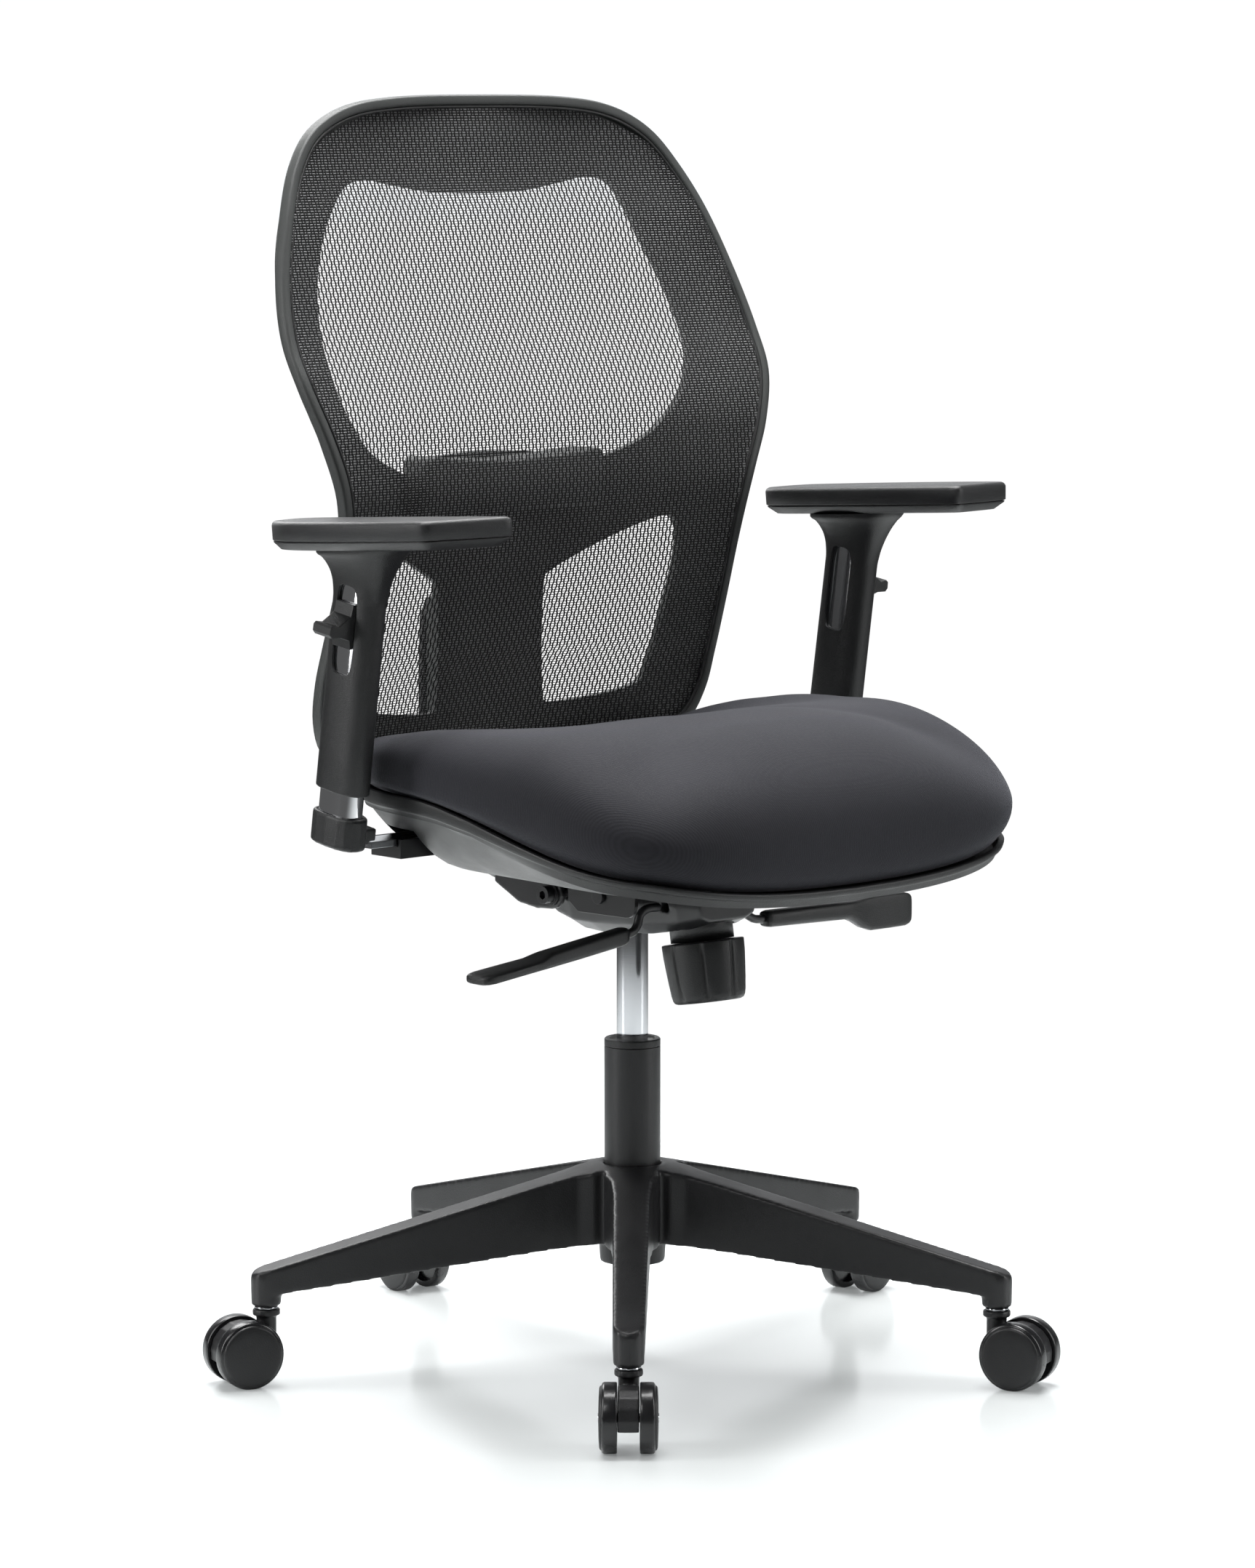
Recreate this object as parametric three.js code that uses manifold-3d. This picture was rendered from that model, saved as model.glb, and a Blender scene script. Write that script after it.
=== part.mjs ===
// Swivel office chair: a five-legged base on twin-wheel casters, a gas lift, a synchronous tilt
// mechanism, a contoured seat in a moulded shell, adjustable T-arms and a mesh back.
// Millimetres, +Z up. The sitter faces -Y, so the sitter's right side is at -X.

import * as THREE from 'three';
import { mergeVertices } from 'three/addons/utils/BufferGeometryUtils.js';
import Module from 'manifold-3d';

const wasm = await Module();
wasm.setup();

const { Vector2, Vector3, Matrix4 } = THREE;
const TAU = 2 * Math.PI;
const rad = THREE.MathUtils.degToRad;
const lerp = THREE.MathUtils.lerp;
const clamp = THREE.MathUtils.clamp;

// ---- driving dimensions -------------------------------------------------------------------

const GAP = 0.3; // clearance between pieces that touch
const SWIVEL = { x: -12, y: -19.4 }; // swivel axis, from the middle of the footprint

const BASE = { legs: 5, turn: 42.9, stemRadius: 336.8, boot: 69, bootRadius: 13.6 };
const WHEEL = { radius: 30, width: 16, inner: 11, sides: 16, trail: 22 };
const STEM = { radius: 5.5, bore: 5.8, collar: 10.5 }; // caster stems and the holes they turn in
const CASTER_TURNS = [0, -7, 0, 0, 7]; // how far each caster is turned from pointing outwards
const AXLE = { radius: 4, bore: 4.4 };
const AXLE_Z = WHEEL.radius * Math.cos(Math.PI / WHEEL.sides);

const TUBE = { radius: 25, wall: 3, bottom: 92, top: 283 };
const BUSH_TOP = 290;
const COLUMN = { radius: 14, bottom: 200, shoulder: 396, top: 434, bore: 5.6 };

const SEAT_PIVOT = { y: -37, z: 428, pin: 4 };
const BACK_PIVOT = { y: 27, z: 423, bolt: 5 };
const LEVER_ROD = 4; // radius of the two lever rods
const HEIGHT = { y: -91, z: 422 }; // where the height lever's rod enters the housing
const TILT = { y: -72, z: 407 }; // where the tilt lever's rod enters it
const PLATE = { bottom: 448, top: 451.6, half: 76, front: -82, rear: 100 };
const SHELL_FLOOR = 452; // underside of the seat shell

const SEAT = { half: 250, depth: 218, middle: -66, square: 4.3, bulge: 1.036 };
const ARM = { right: 289, left: 298, y: 58, z: 493, lean: 8.5 }; // the left arm is slid out further
const PAD = { z: 743, tilt: 3.5, split: 8, thick: 26 };
const KNOB = { y: -96, z: 360, lean: 10, radius: 36.3, neck: 28, bottom: -26, top: 27 };

const paint = (color, roughness, metalness = 0) =>
  new THREE.MeshStandardMaterial({ color, roughness, metalness });
const nylon = paint(0x1b1b1c, 0.55);
const moulded = paint(0x242526, 0.5);
const frameGrey = paint(0x3a3c3c, 0.5);
const softTouch = paint(0x1e1f20, 0.65);
const blackSteel = paint(0x1a1a1b, 0.45, 0.6);
const satinSteel = paint(0xb9bbbd, 0.3, 1);
const chrome = paint(0xe4e6e8, 0.06, 1);
const rubber = paint(0x101011, 0.4);
const greyBush = paint(0xa9abab, 0.5);
const fabric = paint(0x232326, 0.95);
const mesh = paint(0x141416, 0.9);

// ---- geometry helpers ---------------------------------------------------------------------

// Turns a closed geometry into a solid that can be cut and joined.
function solidOf(geometry) {
  const bare = new THREE.BufferGeometry();
  bare.setAttribute('position', geometry.getAttribute('position'));
  if (geometry.index) bare.setIndex(geometry.index);
  const welded = mergeVertices(bare, 1e-4);
  return new wasm.Manifold(new wasm.Mesh({
    numProp: 3,
    vertProperties: new Float32Array(welded.getAttribute('position').array),
    triVerts: new Uint32Array(welded.index.array),
  }));
}

function geometryOf(solid) {
  const { vertProperties, triVerts } = solid.getMesh();
  const geometry = new THREE.BufferGeometry();
  geometry.setAttribute('position', new THREE.BufferAttribute(vertProperties, 3));
  geometry.setIndex(new THREE.BufferAttribute(triVerts, 1));
  return geometry;
}

const join = (first, ...others) =>
  geometryOf(others.reduce((sum, item) => sum.add(solidOf(item)), solidOf(first)));
const cut = (body, ...tools) =>
  geometryOf(tools.reduce((sum, tool) => sum.subtract(solidOf(tool)), solidOf(body)));
const common = (a, b) => geometryOf(solidOf(a).intersect(solidOf(b)));

// Builds a geometry from points and triangles, turning it inside out if its volume is negative.
function closedBody(points, faces) {
  let volume = 0;
  for (const [a, b, c] of faces) {
    volume += points[a].dot(new Vector3().crossVectors(points[b], points[c]));
  }
  const outward = volume > 0 ? faces : faces.map(([a, b, c]) => [a, c, b]);
  const geometry = new THREE.BufferGeometry().setFromPoints(points);
  geometry.setIndex(outward.flat());
  return geometry;
}

// A body through a row of closed outlines of equal length, capped at both ends or joined in a loop.
function loft(rings, { loop = false } = {}) {
  const n = rings[0].length;
  const points = rings.flat();
  const faces = [];
  const rows = loop ? rings.length : rings.length - 1;
  for (let k = 0; k < rows; k++) {
    const next = (k + 1) % rings.length;
    for (let i = 0; i < n; i++) {
      const j = (i + 1) % n;
      faces.push([k * n + i, k * n + j, next * n + j], [k * n + i, next * n + j, next * n + i]);
    }
  }
  if (!loop) {
    for (const [row, flip] of [[0, true], [rings.length - 1, false]]) {
      const middle = new Vector3();
      rings[row].forEach((p) => middle.addScaledVector(p, 1 / n));
      const centre = points.push(middle) - 1;
      for (let i = 0; i < n; i++) {
        const a = row * n + i;
        const b = row * n + ((i + 1) % n);
        faces.push(flip ? [centre, b, a] : [centre, a, b]);
      }
    }
  }
  return closedBody(points, faces);
}

// A plate between two curved faces, each a function of row j and column i.
function slab(columns, rows, front, back) {
  const points = [];
  for (const face of [front, back]) {
    for (let j = 0; j <= rows; j++) {
      for (let i = 0; i <= columns; i++) points.push(face(i / columns, j / rows));
    }
  }
  const wide = columns + 1;
  const half = wide * (rows + 1);
  const at = (i, j) => j * wide + i;
  const faces = [];
  for (let j = 0; j < rows; j++) {
    for (let i = 0; i < columns; i++) {
      const [a, b, c, d] = [at(i, j), at(i + 1, j), at(i + 1, j + 1), at(i, j + 1)];
      faces.push([a, b, c], [a, c, d], [half + a, half + c, half + b], [half + a, half + d, half + c]);
    }
  }
  const edge = [];
  for (let i = 0; i < columns; i++) edge.push(at(i, 0));
  for (let j = 0; j < rows; j++) edge.push(at(columns, j));
  for (let i = columns; i > 0; i--) edge.push(at(i, rows));
  for (let j = rows; j > 0; j--) edge.push(at(0, j));
  edge.forEach((a, k) => {
    const b = edge[(k + 1) % edge.length];
    faces.push([a, half + a, half + b], [a, half + b, b]);
  });
  return closedBody(points, faces);
}

// An outline in the plane, pushed along +Z; `along` stands it up so that its Z runs along X or Y.
function prism(outline, depth, { holes = [], along = 'z' } = {}) {
  const shape = new THREE.Shape(outline.map(([x, y]) => new Vector2(x, y)));
  holes.forEach((hole) => shape.holes.push(new THREE.Path(hole.map(([x, y]) => new Vector2(x, y)))));
  const geometry = new THREE.ExtrudeGeometry(shape, { depth, bevelEnabled: false });
  if (along === 'x') {
    geometry.applyMatrix4(new Matrix4().set(0, 0, 1, 0, 1, 0, 0, 0, 0, 1, 0, 0, 0, 0, 0, 1));
  }
  if (along === 'y') {
    geometry.applyMatrix4(new Matrix4().set(1, 0, 0, 0, 0, 0, -1, 0, 0, 1, 0, 0, 0, 0, 0, 1));
  }
  return geometry;
}

function box(x0, x1, y0, y1, z0, z1) {
  return new THREE.BoxGeometry(x1 - x0, y1 - y0, z1 - z0)
    .translate((x0 + x1) / 2, (y0 + y1) / 2, (z0 + z1) / 2);
}

// A turned body about the Z axis, from [radius, height] pairs.
function turned(profile, segments = 24) {
  const points = profile.map(([r, z]) => new Vector2(r, z));
  return new THREE.LatheGeometry(points, segments).rotateX(Math.PI / 2);
}

// A round bar along X between two stations.
function barX(x0, x1, radius, y, z, segments = 12) {
  return new THREE.CylinderGeometry(radius, radius, x1 - x0, segments)
    .rotateZ(Math.PI / 2).translate((x0 + x1) / 2, y, z);
}

// Points of a rounded rectangle, or of an ellipse when `square` is 2.
function roundedOutline(halfX, halfY, square, count) {
  return Array.from({ length: count }, (_, i) => {
    const a = (i / count) * TAU;
    const shape = (v, half) => Math.sign(v) * half * Math.abs(v) ** (2 / square);
    return [shape(Math.cos(a), halfX), shape(Math.sin(a), halfY)];
  });
}

// Straight-line interpolation in a table of [position, value] pairs.
function table(pairs, at) {
  if (at <= pairs[0][0]) return pairs[0][1];
  for (let k = 1; k < pairs.length; k++) {
    const [x1, v1] = pairs[k];
    const [x0, v0] = pairs[k - 1];
    if (at <= x1) return lerp(v0, v1, (at - x0) / (x1 - x0));
  }
  return pairs.at(-1)[1];
}

const chair = new THREE.Group();

function piece(name, geometry, material, parent = chair) {
  const item = new THREE.Mesh(geometry, material);
  item.name = name;
  parent.add(item);
  return item;
}

// ---- base ---------------------------------------------------------------------------------

// Plan outline of the star: legs with round ends, joined by round webs at the hub.
function starOutline(halfRoot, halfEnd, webRadius, endRadius, reach) {
  const outline = [];
  const step = TAU / BASE.legs;
  for (let k = 0; k < BASE.legs; k++) {
    const leg = k * step;
    const at = (along, across) => {
      const c = Math.cos(leg);
      const s = Math.sin(leg);
      return [along * c - across * s, along * s + across * c];
    };
    outline.push(at(webRadius + 45, -halfRoot + 1));
    for (let i = 0; i <= 4; i++) {
      const a = rad(-90 + 45 * i);
      outline.push(at(reach + endRadius * Math.cos(a), halfEnd * Math.sin(a)));
    }
    outline.push(at(webRadius + 45, halfRoot - 1));
    outline.push(at(webRadius + 16, halfRoot + 1.5));
    outline.push(at(webRadius + 3, halfRoot + 7));
    const middle = leg + step / 2;
    outline.push([webRadius * Math.cos(middle), webRadius * Math.sin(middle)]);
    const next = leg + step;
    const mirror = (along, across) => [
      along * Math.cos(next) + across * Math.sin(next),
      along * Math.sin(next) - across * Math.cos(next),
    ];
    outline.push(mirror(webRadius + 3, halfRoot + 7));
    outline.push(mirror(webRadius + 16, halfRoot + 1.5));
  }
  return outline;
}

// Side profile of the legs about the hub: top and bottom heights at a radius.
const LEG_TOP = [[0, 178], [30, 178], [48, 174], [343, 101.4], [352, 97]];
const LEG_BOTTOM = [[0, 88], [29, 88], [30, 106], [42, 109], [70, 106], [327, 80], [352, 80]];

const LEG = { root: 17.5, end: BASE.bootRadius, web: 40, wall: 4, roof: 5 };
const POCKETS = [[64, 146], [150, 232], [236, 318]]; // hollows under a leg, between cross ribs

function starBase() {
  const end = BASE.stemRadius;
  const outline = starOutline(LEG.root, LEG.end, LEG.web, BASE.bootRadius, end);
  const plan = prism(outline, 140).translate(0, 0, 60);
  let star = common(plan, turned([...LEG_BOTTOM, ...LEG_TOP.toReversed()], 32));
  for (let k = 0; k < BASE.legs; k++) {
    const a = (k / BASE.legs) * TAU;
    const boot = new THREE.CylinderGeometry(BASE.bootRadius, BASE.bootRadius - 0.3, 26, 16)
      .rotateX(Math.PI / 2).translate(end, 0, BASE.boot + 13).rotateZ(a);
    star = join(star, boot);
    const bore = new THREE.CylinderGeometry(STEM.bore, STEM.bore, 27.5, 10)
      .rotateX(Math.PI / 2).translate(end, 0, BASE.boot + 13).rotateZ(a);
    star = cut(star, bore);
    for (const [r0, r1] of POCKETS) {
      const half = (r) => table([[85, LEG.root], [end, LEG.end]], r) - LEG.wall;
      const pocket = loft([r0, r1].map((r) => [
        new Vector3(r, -half(r), 60), new Vector3(r, half(r), 60),
        new Vector3(r, half(r) - 2, table(LEG_TOP, r) - LEG.roof),
        new Vector3(r, -half(r) + 2, table(LEG_TOP, r) - LEG.roof),
      ]));
      star = cut(star, pocket.rotateZ(a));
    }
  }
  const bore = new THREE.CylinderGeometry(TUBE.radius + GAP, TUBE.radius + GAP, 120, 32)
    .rotateX(Math.PI / 2).translate(0, 0, 140);
  return cut(star, bore);
}

const base = new THREE.Group();
base.rotation.z = rad(-90 - BASE.turn);
chair.add(base);
piece('star_base', starBase(), nylon, base);

const tubeInner = TUBE.radius - TUBE.wall;
piece('cylinder_tube', turned([
  [4.5, TUBE.bottom], [TUBE.radius, TUBE.bottom], [TUBE.radius, TUBE.top], [tubeInner, TUBE.top],
  [tubeInner, TUBE.bottom + 5], [4.5, TUBE.bottom + 5], [4.5, TUBE.bottom],
], 32), blackSteel);
piece('guide_bush', turned([
  [COLUMN.radius + GAP, 225], [tubeInner - GAP, 225], [tubeInner - GAP, TUBE.top + GAP],
  [TUBE.radius, TUBE.top + GAP], [TUBE.radius, BUSH_TOP], [19.5, BUSH_TOP],
  [18.5, BUSH_TOP - 4], [COLUMN.radius + GAP, BUSH_TOP - 4], [COLUMN.radius + GAP, 225],
]), greyBush);
piece('piston_rod', turned([
  [0, 91], [4, 91], [4, TUBE.bottom + 5 + GAP], [9, TUBE.bottom + 5 + GAP], [9, 103], [5, 104],
  [5, 322], [0, 323],
], 12), satinSteel);
piece('gas_column', turned([
  [COLUMN.bore, COLUMN.bottom], [13, COLUMN.bottom], [COLUMN.radius, COLUMN.bottom + 1.5],
  [COLUMN.radius, COLUMN.shoulder], [13, COLUMN.top - 8], [6, COLUMN.top - 8], [5, COLUMN.top],
  [0, COLUMN.top], [0, 420], [COLUMN.bore, 418], [COLUMN.bore, COLUMN.bottom],
]), satinSteel);

// ---- casters ------------------------------------------------------------------------------

// One wheel about the Z axis, its outer face up: domed cap, chamfered rim, hollow inner face.
function wheelGeometry() {
  const { radius: r, width: w } = WHEEL;
  return turned([
    [AXLE.bore, 0.5], [8, 0.5], [8, 6], [24.5, 6], [24.5, 0.4], [r, 0.4], [r, w - 4], [26, w - 1],
    [12, w], [AXLE.bore, w], [AXLE.bore, 0.5],
  ], WHEEL.sides);
}

function hoodGeometry() {
  const outline = [];
  const reach = WHEEL.radius - 2.5;
  for (let i = 0; i <= 8; i++) {
    const a = rad(-14 + 21 * i);
    outline.push([-WHEEL.trail - reach * Math.cos(a), AXLE_Z + reach * Math.sin(a)]);
  }
  outline.push([8, 38], [-4, AXLE_Z - 6.6]);
  const plate = prism(outline, 18, { along: 'x' }).translate(-9, 0, 0);
  const neck = new THREE.CylinderGeometry(12.2, 12.2, 5.5, 16).rotateX(Math.PI / 2)
    .translate(0, 0, 63.25);
  const stalk = new THREE.CylinderGeometry(9, 9, 20, 12).rotateX(Math.PI / 2).translate(0, 0, 51);
  const bore = new THREE.CylinderGeometry(STEM.bore, STEM.bore, 40, 10).rotateX(Math.PI / 2)
    .translate(0, 0, 66);
  return cut(join(plate, neck, stalk), bore, barX(-12, 12, AXLE.bore, -WHEEL.trail, AXLE_Z, 10));
}

function caster(number) {
  const angle = BASE.turn + (number - 1) * (360 / BASE.legs);
  const stem = new THREE.Group();
  stem.rotation.z = rad(-angle);
  stem.position.set(
    -BASE.stemRadius * Math.sin(rad(angle)), -BASE.stemRadius * Math.cos(rad(angle)), 0);
  chair.add(stem);
  const name = `caster_${number}`;
  piece(`${name}_stem`, turned([
    [0, 47], [STEM.radius, 47], [STEM.radius, 66.3], [STEM.collar, 66.3],
    [STEM.collar, BASE.boot - GAP], [STEM.radius, BASE.boot - GAP], [STEM.radius, 92], [0, 94],
  ], 8), satinSteel, stem);
  const hood = new THREE.Group();
  hood.rotation.z = rad(-CASTER_TURNS[number - 1]);
  stem.add(hood);
  piece(`${name}_hood`, hoodGeometry(), nylon, hood);
  const reach = WHEEL.inner + WHEEL.width - 1.5;
  piece(`${name}_axle`, barX(-reach, reach, AXLE.radius, -WHEEL.trail, AXLE_Z, 10), satinSteel, hood);
  for (const [side, sign] of [['l', 1], ['r', -1]]) {
    const wheel = wheelGeometry().rotateZ(Math.PI / WHEEL.sides).rotateY(sign * Math.PI / 2)
      .translate(sign * WHEEL.inner, -WHEEL.trail, AXLE_Z);
    piece(`${name}_wheel_${side}`, wheel, rubber, hood);
  }
}
for (let number = 1; number <= BASE.legs; number++) caster(number);

// ---- tilt mechanism -----------------------------------------------------------------------

// A boat-shaped section at a station along Y, eight-sided with a keel flat.
function hullSection(y, half, bottom, top) {
  const rise = (top - bottom) * 0.45;
  return [[-half * 0.62, bottom], [half * 0.62, bottom], [half * 0.92, bottom + rise * 0.45],
    [half, bottom + rise * 1.3], [half, top], [-half, top], [-half, bottom + rise * 1.3],
    [-half * 0.92, bottom + rise * 0.45]].map(([x, z]) => new Vector3(x, y, z));
}
const HULL = [
  [-124, 34, 409, 430], [-104, 44, 401, 438], [-60, 52, 393, 441], [0, 54, 388, 441],
  [24, 54, 389, 436], [50, 50, 396, 431], [62, 45, 403, 428],
];
const knobFrame = new Matrix4().makeTranslation(0, KNOB.y, KNOB.z)
  .multiply(new Matrix4().makeRotationX(rad(-KNOB.lean)));

function housing() {
  const outer = loft(HULL.map((station) => hullSection(...station)));
  const inner = loft(HULL.slice(1, -1).map(([y, half, bottom]) =>
    hullSection(y * 0.92 + 1, half - 6, bottom + 6, 460)));
  const socket = new THREE.CylinderGeometry(24, 24, 46, 20).rotateX(Math.PI / 2).translate(0, 0, 416);
  const keep = common(socket, box(-40, 40, -40, 40, 389, 436));
  const bore = turned([
    [0, 380], [COLUMN.radius + GAP, 380], [COLUMN.radius + GAP, COLUMN.shoulder],
    [13 + GAP, COLUMN.top - 8], [13 + GAP, 450], [0, 450],
  ], 28);
  const springWell = turned([[0, -5], [KNOB.neck + GAP, -5], [KNOB.neck + GAP, 62], [0, 62]], 24)
    .applyMatrix4(knobFrame);
  return cut(join(cut(outer, inner), keep), bore, springWell,
    barX(-70, 70, SEAT_PIVOT.pin + 0.4, SEAT_PIVOT.y, SEAT_PIVOT.z),
    barX(-70, 70, BACK_PIVOT.bolt + 0.4, BACK_PIVOT.y, BACK_PIVOT.z),
    barX(40, 70, LEVER_ROD + 0.6, TILT.y, TILT.z), barX(-70, -36, LEVER_ROD + 0.6, HEIGHT.y, HEIGHT.z));
}
piece('mech_housing', housing(), blackSteel);
piece('tension_tube', turned([
  [6.5, KNOB.top + 1], [KNOB.neck, KNOB.top + 1], [KNOB.neck, 56], [22, 56], [6.5, 33],
  [6.5, KNOB.top + 1],
]).applyMatrix4(knobFrame), nylon);

// The knob's grip: a slow taper with eight shallow grooves.
function knobGeometry() {
  const count = 40;
  const ring = (radius, height, groove) => Array.from({ length: count }, (_, i) => {
    const depth = i % 5 === 0 ? groove : 0;
    const a = (i / count) * TAU;
    return new Vector3((radius - depth) * Math.cos(a), (radius - depth) * Math.sin(a), height);
  });
  const r = KNOB.radius;
  const body = loft([
    ring(r - 6.5, KNOB.bottom, 0), ring(r - 3.6, KNOB.bottom + 3, 2),
    ring(r - 0.4, 20, 1.6), ring(r, KNOB.top, 0),
  ]);
  const spindle = turned([[0, KNOB.top - 4], [6, KNOB.top - 4], [6, 32], [0, 32]], 12);
  return join(body, spindle).applyMatrix4(knobFrame);
}
piece('tension_knob', knobGeometry(), moulded);

piece('seat_pivot_pin', join(barX(-73.5, 73.5, SEAT_PIVOT.pin, SEAT_PIVOT.y, SEAT_PIVOT.z),
  barX(72.3, 76, 7, SEAT_PIVOT.y, SEAT_PIVOT.z), barX(-76, -72.3, 7, SEAT_PIVOT.y, SEAT_PIVOT.z)),
blackSteel);

// Pivot bolt with a socket head on a washer at each end.
function pivotBolt() {
  const at = [BACK_PIVOT.y, BACK_PIVOT.z];
  let bolt = barX(-80, 80, BACK_PIVOT.bolt, ...at);
  for (const s of [-1, 1]) {
    const washer = barX(Math.min(s * 72.3, s * 74.5), Math.max(s * 72.3, s * 74.5), 10.5, ...at, 16);
    const head = barX(Math.min(s * 74.5, s * 83), Math.max(s * 74.5, s * 83), 8, ...at, 16);
    const socket = barX(Math.min(s * 78.5, s * 90), Math.max(s * 78.5, s * 90), 4, ...at, 6);
    bolt = cut(join(bolt, washer, head), socket);
  }
  return bolt;
}
piece('back_pivot_bolt', pivotBolt(), blackSteel);

// Seat bracket: top plate with a flange down each side, pivoted on the pin.
function seatBracket() {
  const { bottom, top, half, front, rear } = PLATE;
  const flange = [[front, bottom + 1], [front, 424]];
  for (let i = 0; i <= 5; i++) {
    const a = rad(180 + 18 * i);
    flange.push([front + 12 + 12 * Math.cos(a), 424 + 12 * Math.sin(a)]);
  }
  flange.push([-8, 411], [5, 420], [6, bottom + 1]);
  let bracket = box(-half, half, front, rear, bottom, top);
  for (const x of [-72, 68]) {
    bracket = join(bracket, prism(flange, 4, { along: 'x' }).translate(x, 0, 0));
  }
  return cut(bracket, barX(-80, 80, SEAT_PIVOT.pin + GAP, SEAT_PIVOT.y, SEAT_PIVOT.z));
}
piece('seat_bracket', seatBracket(), blackSteel);

const CARRIER_Y = 220.5; // middle of the upright bar behind the back

// Back carrier: two cheeks on the pivot bolt, a cross plate and the bar that climbs the back.
function backCarrier() {
  const nose = [];
  for (let i = 0; i <= 6; i++) {
    const a = rad(90 + 30 * i);
    nose.push([BACK_PIVOT.y + 13.5 * Math.cos(a), BACK_PIVOT.z + 13.5 * Math.sin(a)]);
  }
  const cheek = [...nose, [48, 408], [72, 411], [104, 426], [104, 440]];
  const path = [[92, 433, 70], [120, 431, 60], [150, 432, 46], [176, 439, 40], [197, 455, 40],
    [211, 476, 46], [219, 500, 54], [CARRIER_Y, 524, 60], [CARRIER_Y, 600, 60],
    [CARRIER_Y, 655, 58], [CARRIER_Y, 672, 50]];
  const half = 6.2; // half the thickness of the bar
  const rings = path.map(([y, z, wide], k) => {
    const before = path[Math.max(k - 1, 0)];
    const after = path[Math.min(k + 1, path.length - 1)];
    const run = new Vector2(after[0] - before[0], after[1] - before[1]).normalize();
    return roundedOutline(wide, half, 6, 12)
      .map(([x, t]) => new Vector3(x, y - t * run.y, z + t * run.x));
  });
  let carrier = loft(rings);
  for (const x of [-72, 66.3]) {
    carrier = join(carrier, prism(cheek, 5.7, { along: 'x' }).translate(x, 0, 0));
  }
  const back = CARRIER_Y + half;
  for (const [x, z] of [[-34, 560], [34, 560], [-34, 640], [34, 640]]) {
    const head = new THREE.CylinderGeometry(7, 7, 5, 10).translate(x, back + 1.5, z);
    const socket = new THREE.CylinderGeometry(3, 3, 5, 6).translate(x, back + 3.5, z);
    carrier = cut(join(carrier, head), socket);
  }
  return cut(carrier, barX(-80, 80, BACK_PIVOT.bolt + GAP, BACK_PIVOT.y, BACK_PIVOT.z),
    barX(-62, 62, 20, BACK_PIVOT.y, BACK_PIVOT.z));
}
piece('back_carrier', backCarrier(), blackSteel);

// A tube of round section along a path of points.
function rod(points, radius) {
  const stations = points.map((p) => new Vector3(...p));
  const path = new THREE.CatmullRomCurve3(stations, false, 'catmullrom', 0.3);
  const circle = roundedOutline(radius, radius, 2, 10).map(([x, y]) => new Vector2(x, y));
  const shape = new THREE.Shape(circle);
  return new THREE.ExtrudeGeometry(shape, { steps: 12, extrudePath: path, bevelEnabled: false });
}

// A grip lofted along X: [x, y, z, half depth, half height, squareness] at each station.
function grip(stations) {
  return loft(stations.map(([x, y, z, deep, high, square]) =>
    roundedOutline(deep, high, square, 12).map(([dy, dz]) => new Vector3(x, y + dy, z + dz))));
}

piece('height_lever_rod', rod([
  [-52, HEIGHT.y, HEIGHT.z], [-66, HEIGHT.y, HEIGHT.z], [-74, HEIGHT.y, 418], [-77, HEIGHT.y, 409],
  [-82, HEIGHT.y, 403.5], [-90, HEIGHT.y, 401.8],
], LEVER_ROD), blackSteel);
const heightGrip = grip([
  [-91.4, HEIGHT.y, 401.4, 7, 7, 3], [-96, HEIGHT.y, 400.8, 8, 8, 3],
  [-150, HEIGHT.y, 394, 9, 7.5, 3.5], [-185, HEIGHT.y, 389.4, 12, 5.6, 4],
  [-200, HEIGHT.y, 387.4, 14.5, 4.6, 5], [-255, HEIGHT.y, 381, 16, 4.4, 5],
  [-263, HEIGHT.y, 380.2, 12, 3.6, 4],
]);
piece('height_lever_handle', heightGrip, moulded);

piece('tilt_lever_rod', rod([
  [45, TILT.y, TILT.z], [60, TILT.y, 406.5], [70, TILT.y, 402], [80, TILT.y, 396.5],
  [91, TILT.y, 395],
], LEVER_ROD), blackSteel);
const tiltGrip = grip([
  [92.4, TILT.y, 395, 6.6, 6.6, 3], [97, TILT.y, 395, 7.6, 7.6, 3],
  [195, TILT.y, 393, 8, 8, 3.2], [212, TILT.y, 389, 6, 13, 4],
  [226, TILT.y, 387, 4.6, 15.5, 5], [270, TILT.y, 387, 4.2, 15.5, 5],
  [276, TILT.y, 387, 3.4, 13, 4],
]);
piece('tilt_lever_handle', tiltGrip, moulded);

// ---- seat ---------------------------------------------------------------------------------

// A point of the seat's plan outline, scaled about its middle.
function seatPlan(i, count, scale) {
  const [x, y] = roundedOutline(SEAT.half * scale, SEAT.depth * scale, SEAT.square, count)[i];
  return [x, SEAT.middle + y];
}

// The front edge of the seat dips in the middle.
function frontDip(x, y) {
  return 14 * Math.max(0, 1 - (x / 210) ** 2) * clamp((-200 - y) / 84, 0, 1);
}

// Height of the shell's lip, which sweeps up along the sides, and of the cushion's widest line.
const LIP = [[-284, 468.5], [-210, 480.5], [-186, 485], [-149, 493], [-106, 503], [-56, 515],
  [-24, 521], [8, 524.5], [63, 526], [152, 528]];
const WIDEST = [[-284, 497.1], [-160, 514.2], [90, 540.7], [152, 549.3]];
const lipHeight = (x, y) => table(LIP, y) - frontDip(x, y);
const widestHeight = (x, y) => table(WIDEST, y) - frontDip(x, y);

// Height of the cushion's crown before its edges roll down: a dish between two raised sides.
function crownHeight(x, y) {
  const crown = table([[-284, 585], [-120, 599], [20, 587.5], [94, 579], [152, 571.5]], y);
  const dish = table([[-190, 0], [-60, 12], [20, 22], [94, 29], [152, 26]], y);
  return crown - dish * (1 - THREE.MathUtils.smoothstep(Math.abs(x), 120, 240));
}

// The shell's flank is steep under the lip and runs out flat towards the middle.
const FLANK = 2.5;

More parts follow.
